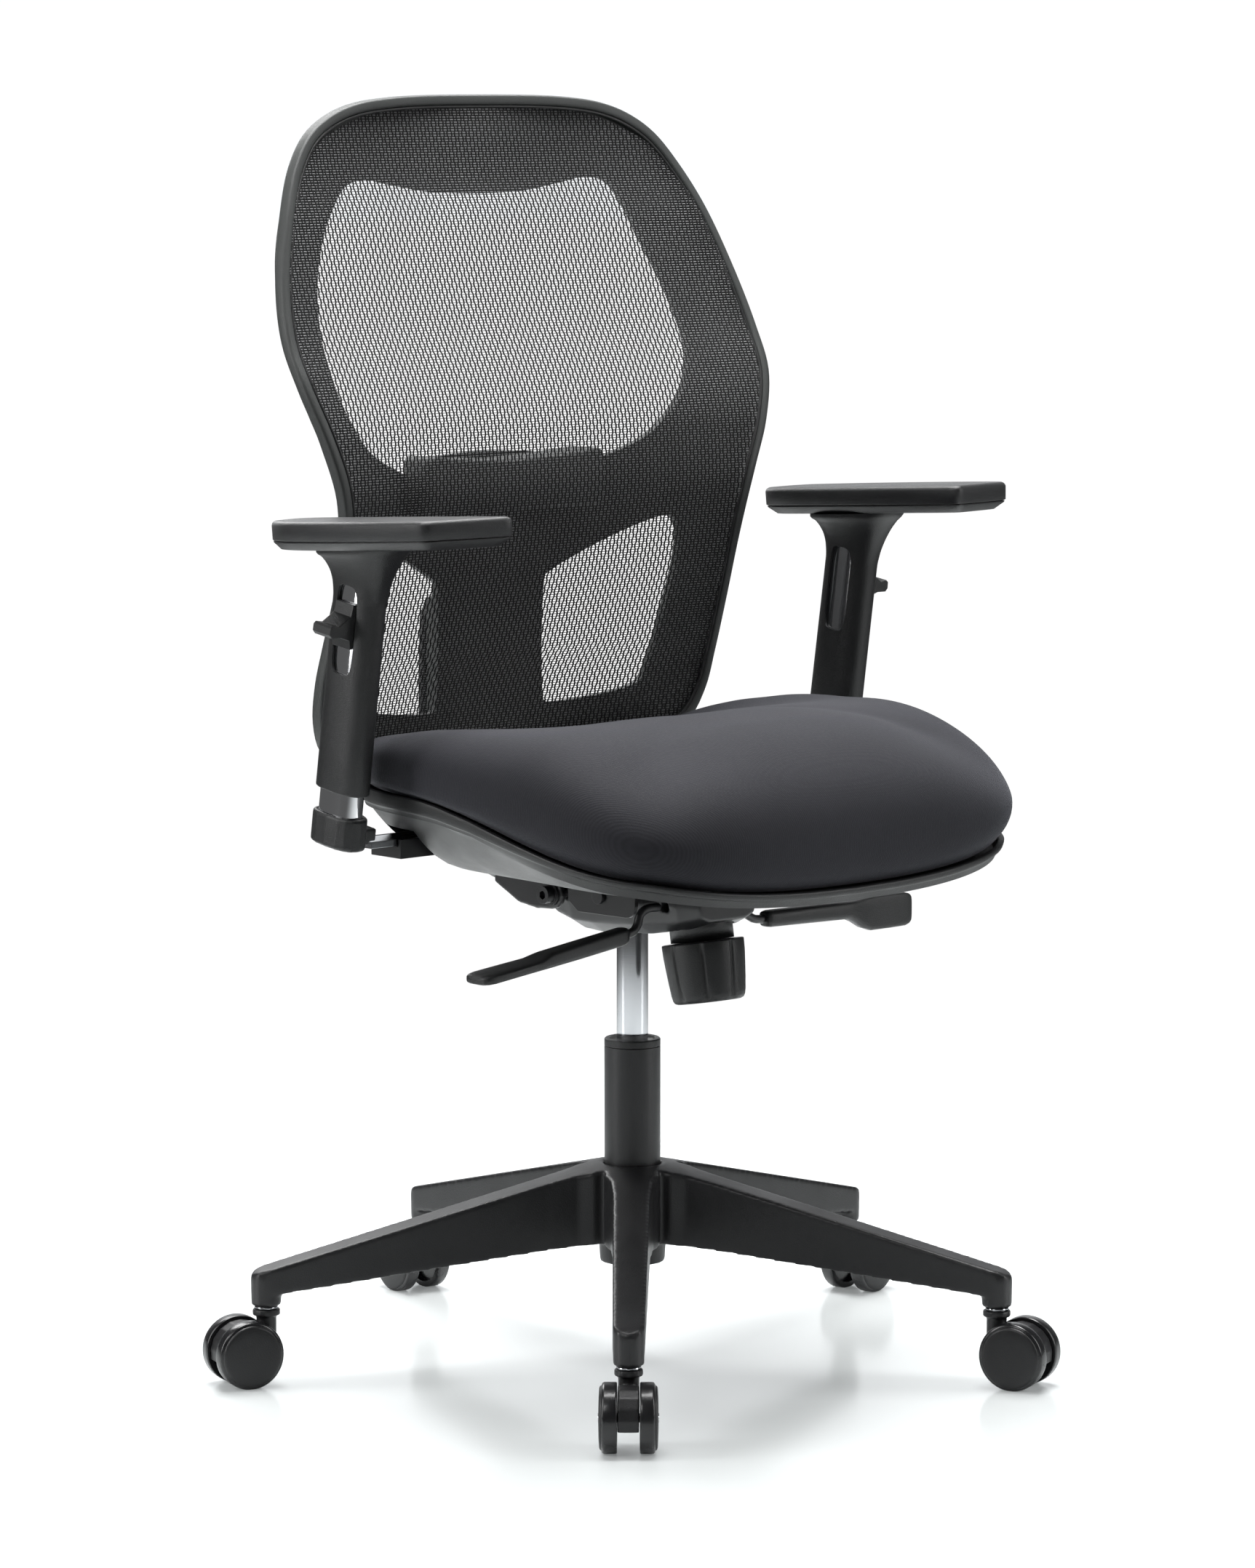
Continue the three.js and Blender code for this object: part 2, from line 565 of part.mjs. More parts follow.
function seatShell() {
  const count = 40;
  const rise = (s) => clamp((s - 0.6) / 0.38, 0, 1) ** FLANK;
  const under = (x, y, s) => lerp(SHELL_FLOOR, lipHeight(x, y) - 14, rise(s));
  const ring = (s, height) => Array.from({ length: count }, (_, i) => {
    const [x, y] = seatPlan(i, count, s);
    return new Vector3(x, y, height(x, y));
  });
  const below = [0.3, 0.6, 0.72, 0.84, 0.93, 0.985];
  const shell = loft([
    ...below.map((s) => ring(s, (x, y) => under(x, y, s))),
    ring(0.998, (x, y) => lipHeight(x, y) - 10),
    ring(1, (x, y) => lipHeight(x, y) - 1),
    ring(0.996, lipHeight),
    ring(0.982, lipHeight),
    ring(0.976, (x, y) => lipHeight(x, y) - 4),
    ...[0.92, 0.83, 0.71, 0.6, 0.3].map((s) => ring(s, (x, y) => under(x, y, s) + 5)),
  ]);
  const slot = (s) => box(Math.min(s * 120, s * 270), Math.max(s * 120, s * 270), 28, 88, 430, 493);
  return cut(shell, slot(1), slot(-1));
}
piece('seat_shell', seatShell(), moulded);

function seatCushion() {
  const count = 40;
  const ring = (s, height) => Array.from({ length: count }, (_, i) => {
    const [x, y] = seatPlan(i, count, s);
    return new Vector3(x, y, height(x, y, i));
  });
  // The edges roll over tightest at the rear of the sides and most slowly at the corners.
  const roll = (s, y, i) => {
    const side = Math.abs(Math.cos((i / count) * TAU));
    const corner = Math.abs(Math.sin((i / count) * 2 * TAU));
    const rear = clamp((y + 60) / 150, 0, 1);
    const power = 3.4 + 0.5 * side - 1.25 * corner + 4 * rear * side;
    return (1 - s ** power) ** (1 / power);
  };
  const side = (share) => (x, y) => lerp(lipHeight(x, y), widestHeight(x, y), share);
  return loft([
    ring(0.3, (x, y) => lipHeight(x, y) - 3.5),
    ring(0.9, (x, y) => lipHeight(x, y) - 3.5),
    ring(0.955, (x, y) => lipHeight(x, y) - 2),
    ring(0.974, (x, y) => lipHeight(x, y) + 1),
    ring(0.99, side(0.25)),
    ring(1.012, side(0.55)),
    ring(SEAT.bulge, widestHeight),
    ...[0.985, 0.95, 0.89, 0.8, 0.68, 0.52, 0.34, 0.16].map((s) =>
      ring(SEAT.bulge * s, (x, y, i) => lerp(widestHeight(x, y), crownHeight(x, y), roll(s, y, i)))),
  ]);
}
piece('seat_cushion', seatCushion(), fabric);

// Cross rail that the arm bars slide in: a channel with a floor and two low walls.
piece('arm_rail', cut(box(-236, 236, 38, 78, SHELL_FLOOR + 16, 485),
  box(-240, 240, 41.5, 74.5, 478.5, 495), box(-228, -84, 42, 74, 440, 475),
  box(84, 228, 42, 74, 440, 475), box(-78, 78, 42, 74, 440, 475)), blackSteel);

// ---- back ---------------------------------------------------------------------------------

// Half width of the back, and where its rim and its spine stand, by height.
const BACK_HALF = [[527, 150], [533, 194], [548, 219], [575, 232], [610, 236], [640, 236],
  [680, 235], [715, 235], [740, 238], [780, 246], [825, 262], [850, 271], [875, 277], [900, 279],
  [925, 276], [975, 266], [1020, 249], [1060, 228], [1088, 205], [1104, 180], [1115, 148],
  [1121, 100]];
const RIM_Y = [[527, 166], [575, 156], [613, 147], [660, 132], [700, 119], [740, 111], [780, 105],
  [825, 107], [850, 112], [875, 121], [925, 145], [975, 162], [1020, 176], [1060, 190],
  [1088, 198], [1121, 206]];
const SPINE_Y = [[527, 192], [565, 194], [685, 194], [795, 200], [900, 202], [1037, 205],
  [1121, 212]];
const LEVELS = [527, 533, 548, 575, 610, 660, 715, 750, 785, 825, 870, 910, 960, 1020, 1060, 1088,
  1104, 1115, 1121];
const SKIN = 7; // thickness of the back's moulded shell
const BEAD = { wide: 9.5, front: 5, rear: 8 };

const halfAt = (z) => table(BACK_HALF, z);
function troughY(x, z) {
  return lerp(table(SPINE_Y, z), table(RIM_Y, z), Math.min(1, (x / halfAt(z)) ** 2));
}

// Half outline of a window, mirrored where it crosses the middle.
const UPPER_WINDOW = [[0, 1036], [50, 1036], [100, 1043], [140, 1048], [168, 1043], [186, 1022],
  [203, 985], [213, 945], [215, 900], [207, 862], [190, 835], [165, 811], [130, 795],
  [100, 787], [72, 798], [0, 797]];
const LOWER_WINDOW = [[65, 570], [160, 580], [172, 590], [189, 725], [184, 737], [172, 737],
  [65, 687]];

// Lumbar ridge: stands forward of the shell between the windows. [x, front, top] at stations.
const RIDGE = [[0, 156, 797], [40, 155, 798.5], [75, 153, 801], [98, 151, 803.5], [107, 152, 800]];

function lumbarRidge() {
  const stations = [...RIDGE.slice(1).map(([x, ...rest]) => [-x, ...rest]).reverse(), ...RIDGE];
  return loft(stations.map(([x, front, top]) => {
    const back = troughY(x, 780) + 5;
    return [[front + 4, 752], [front, 758], [front, top - 3], [front + 3, top], [back, top],
      [back, 752]].map(([y, z]) => new Vector3(x, y, z));
  }));
}

function backFrame() {
  const face = (offset) => (u, v) => {
    const z = table(LEVELS.map((level, k) => [k / (LEVELS.length - 1), level]), v);
    const x = lerp(-1, 1, u) * (halfAt(z) - 3);
    return new Vector3(x, troughY(x, z) + offset, z);
  };
  let shell = slab(12, LEVELS.length - 1, face(1), face(1 + SKIN));
  const window = (outline) => prism(outline, 300, { along: 'y' }).translate(0, 350, 0);
  const mirrored = (outline) => outline.map(([x, z]) => [-x, z]).reverse();
  shell = cut(shell, window([...UPPER_WINDOW, ...mirrored(UPPER_WINDOW.slice(1, -1))]),
    window(LOWER_WINDOW), window(mirrored(LOWER_WINDOW)));
  const right = LEVELS.map((z) => new Vector3(halfAt(z), table(RIM_Y, z), z));
  const left = LEVELS.map((z) => new Vector3(-halfAt(z), table(RIM_Y, z), z)).reverse();
  const foot = new Vector3(0, troughY(0, 527), 525);
  const head = new Vector3(0, troughY(0, 1121), 1123);
  const path = new THREE.CatmullRomCurve3([foot, ...right, head, ...left], true, 'centripetal');
  const count = 52;
  const rings = Array.from({ length: count }, (_, k) => {
    const middle = path.getPointAt(k / count);
    const ahead = path.getTangentAt(k / count);
    const outward = new Vector3(ahead.z, 0, -ahead.x).normalize();
    const inset = BEAD.wide / 2;
    return roundedOutline(inset, (BEAD.front + BEAD.rear) / 2, 4, 8).map(([a, b]) =>
      middle.clone().addScaledVector(outward, a - inset)
        .add(new Vector3(0, b + (BEAD.rear - BEAD.front) / 2, 0)));
  });
  const pad = loft([[527, 50], [560, 58], [655, 58], [690, 46]].map(([z, half]) => {
    const back = CARRIER_Y - 6.2 - GAP - 0.1;
    return [[-half, back - 14], [half, back - 14], [half, back], [-half, back]]
      .map(([x, y]) => new Vector3(x, y, z));
  }));
  return join(shell, loft(rings, { loop: true }), pad, lumbarRidge());
}
piece('back_frame', backFrame(), frameGrey);

// Mesh web, stretched across the rim with a little sag in the middle.
function backMesh() {
  const inset = BEAD.wide + 0.8;
  const low = 527 + inset;
  const high = 1121 - inset;
  const face = (offset) => (u, v) => {
    const z = lerp(low, high, v);
    const shrunk = table([[low, 527], [low + 6, 535], [low + 20, 549], [610, 610], [1060, 1060],
      [high - 18, 1104], [high - 8, 1114], [high, 1120]], z);
    const half = halfAt(shrunk) - inset;
    const x = lerp(-1, 1, u) * half;
    const sag = 11 * (1 - lerp(-1, 1, u) ** 2) * clamp(Math.min(z - low, high - z) / 60, 0, 1);
    const edge = Math.max(0, 1 - Math.min(z - low, high - z) / 90);
    const flat = table(RIM_Y, z) + sag;
    const follow = troughY(x, z);
    return new Vector3(x, lerp(flat, follow, edge) - 3.6 + offset, z);
  };
  return slab(10, 18, face(0), face(2));
}
piece('back_mesh', backMesh(), mesh);

// ---- arms ---------------------------------------------------------------------------------

// Oval section of a post at a height along its leaning axis.
function ovalRing(halfX, halfY, along, slope = 0) {
  return roundedOutline(halfX, halfY, 2.6, 16).map(([x, y]) => new Vector3(x, y, along + slope * y));
}

// Armrest plan outline, inner edge at the left: [across, forward].
const PAD_PLAN = [[-26, -139], [49, -122], [54, -115], [59, -60], [57, 25], [46, 80], [24, 114],
  [0, 124], [-20, 120], [-30, 104], [-33, 40], [-34, -60], [-32, -132]];

function padLayer(levels, sign) {
  return loft(levels.map(([z, inset]) => PAD_PLAN.map(([x, y]) => {
    const shrink = 1 - inset / 46;
    const length = 1 - inset / 138;
    return new Vector3(sign * (12 + (x - 12) * shrink), y * length, z);
  })));
}

// The post's section, and where the armrest's underside crosses the leaning post.
const POST = { halfX: 12.5, halfY: 23 };
const padSlope = -Math.tan(rad(ARM.lean + PAD.tilt));
const padMeets = (PAD.z - ARM.z - Math.tan(rad(PAD.tilt)) * ARM.y)
  / (Math.cos(rad(ARM.lean)) - Math.tan(rad(PAD.tilt)) * Math.sin(rad(ARM.lean)));

function arm(side, sign) {
  const name = `arm_${side}`;
  const sideBox = (x0, x1, ...rest) => (sign > 0 ? box(x0, x1, ...rest) : box(-x1, -x0, ...rest));
  const post = new THREE.Group();
  post.position.set(sign * ARM[side], ARM.y, ARM.z);
  post.rotation.x = rad(ARM.lean);
  chair.add(post);

  const cup = loft([ovalRing(14, 27, -10), ovalRing(16, 29, -8), ovalRing(16, 29, 17),
    ovalRing(15, 27, 19)]);
  const well = loft([ovalRing(POST.halfX + GAP, POST.halfY + GAP, -5.3),
    ovalRing(POST.halfX + GAP, POST.halfY + GAP, 25)]);
  piece(`${name}_cup`, cut(join(cup, sideBox(-29, -13, -16, 16, -8, 6)), well,
    sideBox(-32, -22, -20, 20, -25, -5)), nylon, post);
  piece(`${name}_tube`, cut(
    loft([ovalRing(POST.halfX, POST.halfY, -5), ovalRing(POST.halfX, POST.halfY, 222)]),
    loft([ovalRing(POST.halfX - 2, POST.halfY - 2, -20), ovalRing(POST.halfX - 2, POST.halfY - 2, 240)]),
  ), chrome, post);

  // The sleeve opens like a trumpet until it meets the armrest.
  const flare = [[15, 28, 205, 0], [15.7, 29.6, 217, 0.1], [17.5, 32.6, 227, 0.3], [20.5, 37, 236, 0.6],
    [24.5, 43, 244, 0.85], [27.5, 48.5, padMeets - 3, 1], [28, 49, padMeets - GAP, 1]];
  const sleeve = loft([ovalRing(14.4, 27.9, 39), ovalRing(15, 28.5, 40.5),
    ...flare.map(([x, y, along, share]) => ovalRing(x, y, along, share * padSlope))]);
  const bore = loft([ovalRing(POST.halfX + GAP, POST.halfY + GAP, 30),
    ovalRing(POST.halfX + GAP, POST.halfY + GAP, 242)]);
  const window = prism(roundedOutline(13.5, 39, 6, 20), 60, { along: 'x' }).translate(-30, 0, 181);
  piece(`${name}_sleeve`, cut(sleeve, bore, window), moulded, post);

  const pad = new THREE.Group();
  pad.position.set(sign * ARM[side], 0, PAD.z);
  pad.rotation.x = rad(-PAD.tilt);
  chair.add(pad);

  const latch = prism([[12.9, 166], [16.4, 166], [17.8, 174], [27, 177], [37, 177], [39.5, 180],
    [39.2, 186], [37, 188], [30, 187], [18, 195], [16.4, 205], [12.9, 205]], 24, { along: 'y' });
  latch.translate(0, 12, 0);
  if (sign < 0) latch.applyMatrix4(new Matrix4().makeRotationZ(Math.PI));
  piece(`${name}_trigger`, latch, moulded, post);

  piece(`${name}_pad_base`, padLayer([[0, 9], [PAD.split - GAP, 1]], sign), nylon, pad);
  piece(`${name}_pad`, padLayer([[PAD.split, 0.5], [PAD.thick - 8, 0], [PAD.thick - 3, 2],
    [PAD.thick - 0.6, 6], [PAD.thick, 14]], sign), softTouch, pad);

  const bar = sideBox(ARM[side] - 180, ARM[side] - 24, 43, 73, 479, 485);
  const slots = [170, 114].map((from) =>
    sideBox(ARM[side] - from, ARM[side] - from + 40, 54, 62, 460, 500));
  piece(`${name}_bar`, cut(bar, ...slots), satinSteel);
}
arm('right', -1);
arm('left', 1);

chair.position.set(SWIVEL.x, SWIVEL.y, 0);

export default chair;
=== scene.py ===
"""Looks of the swivel office chair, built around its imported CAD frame.

Metres, +Z up. The sitter faces -Y, so the sitter's right side is at -X. Shapes are worked out in
millimetres about the swivel axis and scaled to metres when a piece is made.
"""

import math

import bmesh
import bpy
from mathutils import Matrix, Vector


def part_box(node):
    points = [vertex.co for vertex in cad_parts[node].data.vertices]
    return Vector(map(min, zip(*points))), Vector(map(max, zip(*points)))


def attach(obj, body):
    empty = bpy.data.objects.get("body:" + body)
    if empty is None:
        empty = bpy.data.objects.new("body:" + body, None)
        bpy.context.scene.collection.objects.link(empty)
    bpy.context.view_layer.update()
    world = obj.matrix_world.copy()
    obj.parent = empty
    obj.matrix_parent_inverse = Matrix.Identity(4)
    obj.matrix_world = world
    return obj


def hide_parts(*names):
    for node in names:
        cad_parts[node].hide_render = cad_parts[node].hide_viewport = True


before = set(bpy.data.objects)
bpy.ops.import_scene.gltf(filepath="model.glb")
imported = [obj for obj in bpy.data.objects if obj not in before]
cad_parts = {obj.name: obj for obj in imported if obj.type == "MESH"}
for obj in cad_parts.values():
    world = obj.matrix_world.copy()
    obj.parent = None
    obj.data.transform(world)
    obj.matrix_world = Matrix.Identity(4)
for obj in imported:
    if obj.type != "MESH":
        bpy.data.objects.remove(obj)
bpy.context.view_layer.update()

TAU = 2 * math.pi
MM = 0.001
low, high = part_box("cylinder_tube")
AXIS = Vector(((low.x + high.x) / 2, (low.y + high.y) / 2, 0))
TO_FRAME = Matrix.Translation(AXIS) @ Matrix.Scale(MM, 4)

# ---- driving dimensions, as in the CAD source, in millimetres about the swivel axis ----------

SEAT = {"half": 250, "depth": 218, "middle": -66, "square": 4.3, "bulge": 1.036}
SHELL_FLOOR = 452
ARM = {"right": 289, "left": 298, "y": 58, "z": 493, "lean": 8.5}
PAD = {"z": 743, "tilt": 3.5, "split": 8, "thick": 26}
KNOB = {"y": -96, "z": 360, "lean": 10}
BEAD = {"wide": 9.5, "front": 5, "rear": 8}
WHEEL = {"radius": 30, "width": 16, "inner": 11}
CASTERS = 5
LEVER_Y = -91
TILT = {"y": -72, "z": 395}
CAMERA = {"distance": 5.0025, "height": 1.1412, "bearing": 42.38, "heading": 42.33, "pitch": 7.11,
          "lens": 130.69}

# ---- material helpers -----------------------------------------------------------------------


def new_material(name, **values):
    """A Principled material with the given socket values, its node tree and its shader."""
    material = bpy.data.materials.new(name)
    material.use_nodes = True
    shader = material.node_tree.nodes["Principled BSDF"]
    for socket, value in values.items():
        shader.inputs[socket.replace("_", " ")].default_value = value
    return material, material.node_tree, shader


def add(tree, kind, **settings):
    node = tree.nodes.new("ShaderNode" + kind)
    for key, value in settings.items():
        if key in node.inputs:
            node.inputs[key].default_value = value
        else:
            setattr(node, key, value)
    return node


def calc(tree, operation, *values, clamp=False):
    """A Math node fed by numbers or sockets; returns its output socket."""
    node = add(tree, "Math", operation=operation, use_clamp=clamp)
    for socket, value in zip(node.inputs, values):
        if isinstance(value, (int, float)):
            socket.default_value = value
        else:
            tree.links.new(value, socket)
    return node.outputs[0]


def place(tree):
    return add(tree, "TexCoord").outputs["Object"]


def noise(tree, scale, detail=2.0, where=None, stretch=None):
    where = where or place(tree)
    if stretch:
        mapping = add(tree, "Mapping", Scale=stretch)
        tree.links.new(where, mapping.inputs["Vector"])
        where = mapping.outputs[0]
    node = add(tree, "TexNoise", Scale=scale, Detail=detail)
    tree.links.new(where, node.inputs["Vector"])
    return node.outputs["Fac"]


def spread(tree, value, low, high, start=0.3, end=0.7):
    node = add(tree, "MapRange")
    for key, number in (("From Min", start), ("From Max", end), ("To Min", low), ("To Max", high)):
        node.inputs[key].default_value = number
    tree.links.new(value, node.inputs["Value"])
    return node.outputs[0]


def blend_colours(tree, factor, first, second):
    node = add(tree, "Mix", data_type="RGBA")
    tree.links.new(factor, node.inputs[0])
    node.inputs[6].default_value = (*first, 1)
    node.inputs[7].default_value = (*second, 1)
    return node.outputs[2]


def bump(tree, shader, height, distance, strength=1.0):
    node = add(tree, "Bump", Distance=distance, Strength=strength)
    tree.links.new(height, node.inputs["Height"])
    tree.links.new(node.outputs[0], shader.inputs["Normal"])


def plastic(name, colour, roughness, grain, depth, lift=1.35, **values):
    """Moulded plastic or paint: pebbled grain, cloudy gloss and a faint painted highlight that lightens
    the edges.
    """
    material, tree, shader = new_material(name, **values)
    cloud = noise(tree, 26, 3)
    # Painted highlight: the colour is lightened along sharp edges, in patches broken up by noise.
    edge = add(tree, "NewGeometry").outputs["Pointiness"]
    edge_highlight = calc(tree, "MULTIPLY", spread(tree, edge, 0, 0.6, 0.52, 0.6), noise(tree, 60, 2), clamp=True)
    # Random cloudy tone plus the painted edge highlight, which lift * colour brightens.
    mixed = calc(tree, "ADD", calc(tree, "MULTIPLY", cloud, 0.5), edge_highlight, clamp=True)
    tree.links.new(blend_colours(tree, mixed, colour, [lift * c for c in colour]),
                   shader.inputs["Base Color"])
    tree.links.new(spread(tree, cloud, roughness - 0.05, roughness + 0.05), shader.inputs["Roughness"])
    fine = noise(tree, grain, 1.5)
    bump(tree, shader, spread(tree, fine, 0, 1, 0.35, 0.65), depth)
    return material


def metal(name, colour, roughness, streaks, **values):
    """Steel with fine turning marks round its axis and faint handling smudges."""
    material, tree, shader = new_material(name, Metallic=1.0, Base_Color=(*colour, 1), **values)
    smudge = noise(tree, 14, 4)
    tree.links.new(spread(tree, smudge, roughness * 0.75, roughness * 1.35), shader.inputs["Roughness"])
    bump(tree, shader, noise(tree, 900, 2, stretch=(0.05, 0.05, 1)), streaks, 0.5)
    return material


def upholstery():
    """Charcoal seat fabric: a fine two-way weave that keeps its scale on top and on the sides."""
    material, tree, shader = new_material(
        "seat fabric", Sheen_Weight=0.16, Sheen_Roughness=0.45, Sheen_Tint=(0.75, 0.77, 0.85, 1),
        Specular_IOR_Level=0.22)
    axes = add(tree, "SeparateXYZ")
    tree.links.new(place(tree), axes.inputs[0])
    x, y, z = axes.outputs
    pitch = 2.1 * MM
    warp = calc(tree, "SINE", calc(tree, "MULTIPLY", calc(tree, "ADD", x, z), TAU / pitch))
    weft = calc(tree, "SINE", calc(tree, "MULTIPLY", calc(tree, "SUBTRACT", y, z), TAU / pitch))
    knots = spread(tree, calc(tree, "MULTIPLY", warp, weft), 0, 1, -1, 1)
    slub = noise(tree, 520, 2)
    weave = calc(tree, "ADD", calc(tree, "MULTIPLY", knots, 0.6), slub)
    shade = calc(tree, "MULTIPLY", weave, spread(tree, noise(tree, 9, 3), 0.35, 0.6), clamp=True)
    tree.links.new(blend_colours(tree, shade, (0.009, 0.009, 0.0112), (0.036, 0.036, 0.044)),
                   shader.inputs["Base Color"])
    tree.links.new(spread(tree, slub, 0.72, 0.92), shader.inputs["Roughness"])
    bump(tree, shader, weave, 0.30 * MM, 0.8)
    return material


def knitted_mesh():
    """Open back fabric: dark strands that draw together in pairs, laced with fine pale picks."""
    material, tree, shader = new_material("back fabric", Specular_IOR_Level=0.35)
    axes = add(tree, "SeparateXYZ")
    tree.links.new(place(tree), axes.inputs[0])
    repeat, rise, pick = 8.65 * MM, 9.2 * MM, 2.3 * MM
    sway = calc(tree, "MULTIPLY",
                calc(tree, "SINE", calc(tree, "MULTIPLY", axes.outputs["Z"], TAU / rise)), 2.2)
    sway = calc(tree, "MINIMUM", calc(tree, "MAXIMUM", sway, -1.0), 1.0)
    shift = calc(tree, "MULTIPLY", sway, 0.055)
    across = calc(tree, "FRACT", calc(tree, "MULTIPLY", axes.outputs["X"], 1 / repeat))
    left = calc(tree, "ABSOLUTE", calc(tree, "SUBTRACT", across, calc(tree, "SUBTRACT", 0.25, shift)))
    right = calc(tree, "ABSOLUTE", calc(tree, "SUBTRACT", across, calc(tree, "ADD", 0.75, shift)))
    strand = calc(tree, "SUBTRACT", 1.0, calc(tree, "DIVIDE", calc(tree, "MINIMUM", left, right), 0.114))
    along = calc(tree, "FRACT", calc(tree, "MULTIPLY", axes.outputs["Z"], 1 / pick))
    lace = calc(tree, "SUBTRACT", 1.0, calc(
        tree, "DIVIDE", calc(tree, "ABSOLUTE", calc(tree, "SUBTRACT", along, 0.5)), 0.17))
    is_strand = calc(tree, "GREATER_THAN", strand, 0.0)
    is_lace = calc(tree, "GREATER_THAN", lace, 0.0)
    tree.links.new(calc(tree, "MAXIMUM", is_strand, is_lace), shader.inputs["Alpha"])
    pale = calc(tree, "MULTIPLY", is_lace, calc(tree, "SUBTRACT", 1.0, is_strand))
    tree.links.new(blend_colours(tree, pale, (0.004, 0.004, 0.0045), (0.22, 0.22, 0.225)),
                   shader.inputs["Base Color"])
    tree.links.new(spread(tree, pale, 0.7, 0.35, 0, 1), shader.inputs["Roughness"])
    bump(tree, shader, calc(tree, "MAXIMUM", strand, lace), 0.5 * MM, 0.8)
    return material


NYLON = plastic("base nylon", (0.012, 0.012, 0.013), 0.40, 900, 0.05 * MM)
STEEL_PAINT = plastic("black powder coat", (0.010, 0.010, 0.011), 0.40, 1400, 0.04 * MM,
                      Coat_Weight=0.15, Coat_Roughness=0.3)
MOULDED = plastic("moulded black", (0.012, 0.0125, 0.013), 0.42, 1100, 0.09 * MM)
FRAME_GREY = plastic("frame grey", (0.040, 0.043, 0.042), 0.50, 1000, 0.08 * MM)
SOFT = plastic("soft touch", (0.013, 0.0135, 0.0145), 0.40, 1500, 0.10 * MM,
               Sheen_Weight=0.08, Sheen_Roughness=0.4)
TREAD = plastic("wheel black", (0.009, 0.009, 0.010), 0.28, 500, 0.02 * MM, Coat_Weight=0.3,
                Coat_Roughness=0.12)
GREY_BUSH = plastic("bush grey", (0.34, 0.34, 0.33), 0.40, 700, 0.03 * MM)
SATIN = metal("satin steel", (0.52, 0.53, 0.55), 0.14, 0.01 * MM, Anisotropic=0.4)
CHROME = metal("chrome", (0.86, 0.87, 0.89), 0.07, 0.002 * MM)
FABRIC = upholstery()
MESH = knitted_mesh()

# ---- mesh helpers ---------------------------------------------------------------------------


def make(name, points, faces, material, body, slot, matrix=TO_FRAME):
    """A smooth mesh piece from points in millimetres, with its normals facing out."""
    data = bpy.data.meshes.new(name)
    data.from_pydata([matrix @ Vector(p) for p in points], [], faces)
    work = bmesh.new()
    work.from_mesh(data)
    bmesh.ops.remove_doubles(work, verts=work.verts, dist=1e-6)
    bmesh.ops.recalc_face_normals(work, faces=work.faces)
    work.to_mesh(data)
    work.free()
    data.shade_smooth()
    data.materials.append(material)
    piece = bpy.data.objects.new(name, data)
    bpy.context.scene.collection.objects.link(piece)
    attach(piece, body)
    return piece


def skin(rings, loop=False):
    """Points and faces of a closed body through outlines of equal length."""
    n = len(rings[0])
    points = [p for ring in rings for p in ring]
    faces = []
    for k in range(len(rings) if loop else len(rings) - 1):
        after = (k + 1) % len(rings)
        for i in range(n):
            j = (i + 1) % n
            faces.append((k * n + i, k * n + j, after * n + j, after * n + i))
    if not loop:
        for row in (0, len(rings) - 1):
            middle = sum((Vector(p) for p in rings[row]), Vector()) / n
            points.append(middle)
            faces += [(len(points) - 1, row * n + i, row * n + (i + 1) % n) for i in range(n)]
    return points, faces


def lathe(profile, segments=72):
    """Points and faces of a body turned about Z, from a closed loop of (radius, height)."""
    rings = [[(r * math.cos(TAU * i / segments), r * math.sin(TAU * i / segments), z)
              for i in range(segments)] for r, z in profile]
    return skin(rings, loop=True)


def oval(half_x, half_y, square, count):
    """Points of a rounded rectangle, or of an ellipse when square is 2."""
    def side(v, half):
        return math.copysign(half * abs(v) ** (2 / square), v)
    return [(side(math.cos(TAU * i / count), half_x), side(math.sin(TAU * i / count), half_y))
            for i in range(count)]


def table(pairs, at):
    """Value at a position in [position, value] pairs, along a smooth curve through them."""
    if at <= pairs[0][0]:
        return pairs[0][1]
    for k in range(1, len(pairs)):
        if at <= pairs[k][0]:
            (x1, v1), (x2, v2) = pairs[k - 1], pairs[k]
            x0, v0 = pairs[max(k - 2, 0)]
            x3, v3 = pairs[min(k + 1, len(pairs) - 1)]
            t, span = (at - x1) / (x2 - x1), x2 - x1
            slope = (v2 - v1) / span
            before = (v1 - v0) / (x1 - x0) if x1 > x0 else slope
            after = (v3 - v2) / (x3 - x2) if x3 > x2 else slope
            m1 = 0 if before * slope <= 0 else 2 * before * slope / (before + slope)
            m2 = 0 if after * slope <= 0 else 2 * after * slope / (after + slope)
            if k == 1:
                m1 = slope
            if k == len(pairs) - 1:
                m2 = slope
            return ((2 * t**3 - 3 * t**2 + 1) * v1 + (t**3 - 2 * t**2 + t) * span * m1
                    + (3 * t**2 - 2 * t**3) * v2 + (t**3 - t**2) * span * m2)
    return pairs[-1][1]


def curve(points, step, closed=True):
    """Evenly cut centripetal Catmull-Rom curve through points."""
    points = [Vector(p) for p in points]
    n = len(points)
    result = []
    for i in range(n if closed else n - 1):
        if closed:
            p = [points[(i + k) % n] for k in (-1, 0, 1, 2)]
        else:
            p = [points[min(max(i + k, 0), n - 1)] for k in (-1, 0, 1, 2)]
        t = [0.0]
        for k in range(3):
            t.append(t[-1] + max((p[k + 1] - p[k]).length, 1e-4) ** 0.5)
        cuts = max(1, round((p[2] - p[1]).length / step))
        for c in range(cuts):
            s = t[1] + (t[2] - t[1]) * c / cuts
            a = [p[k] * ((t[k + 1] - s) / (t[k + 1] - t[k])) + p[k + 1] * ((s - t[k]) / (t[k + 1] - t[k]))
                 for k in range(3)]
            b = [a[k] * ((t[k + 2] - s) / (t[k + 2] - t[k])) + a[k + 1] * ((s - t[k]) / (t[k + 2] - t[k]))
                 for k in range(2)]
            result.append(b[0] * ((t[2] - s) / (t[2] - t[1])) + b[1] * ((s - t[1]) / (t[2] - t[1])))
    if not closed:
        result.append(points[-1])
    return result


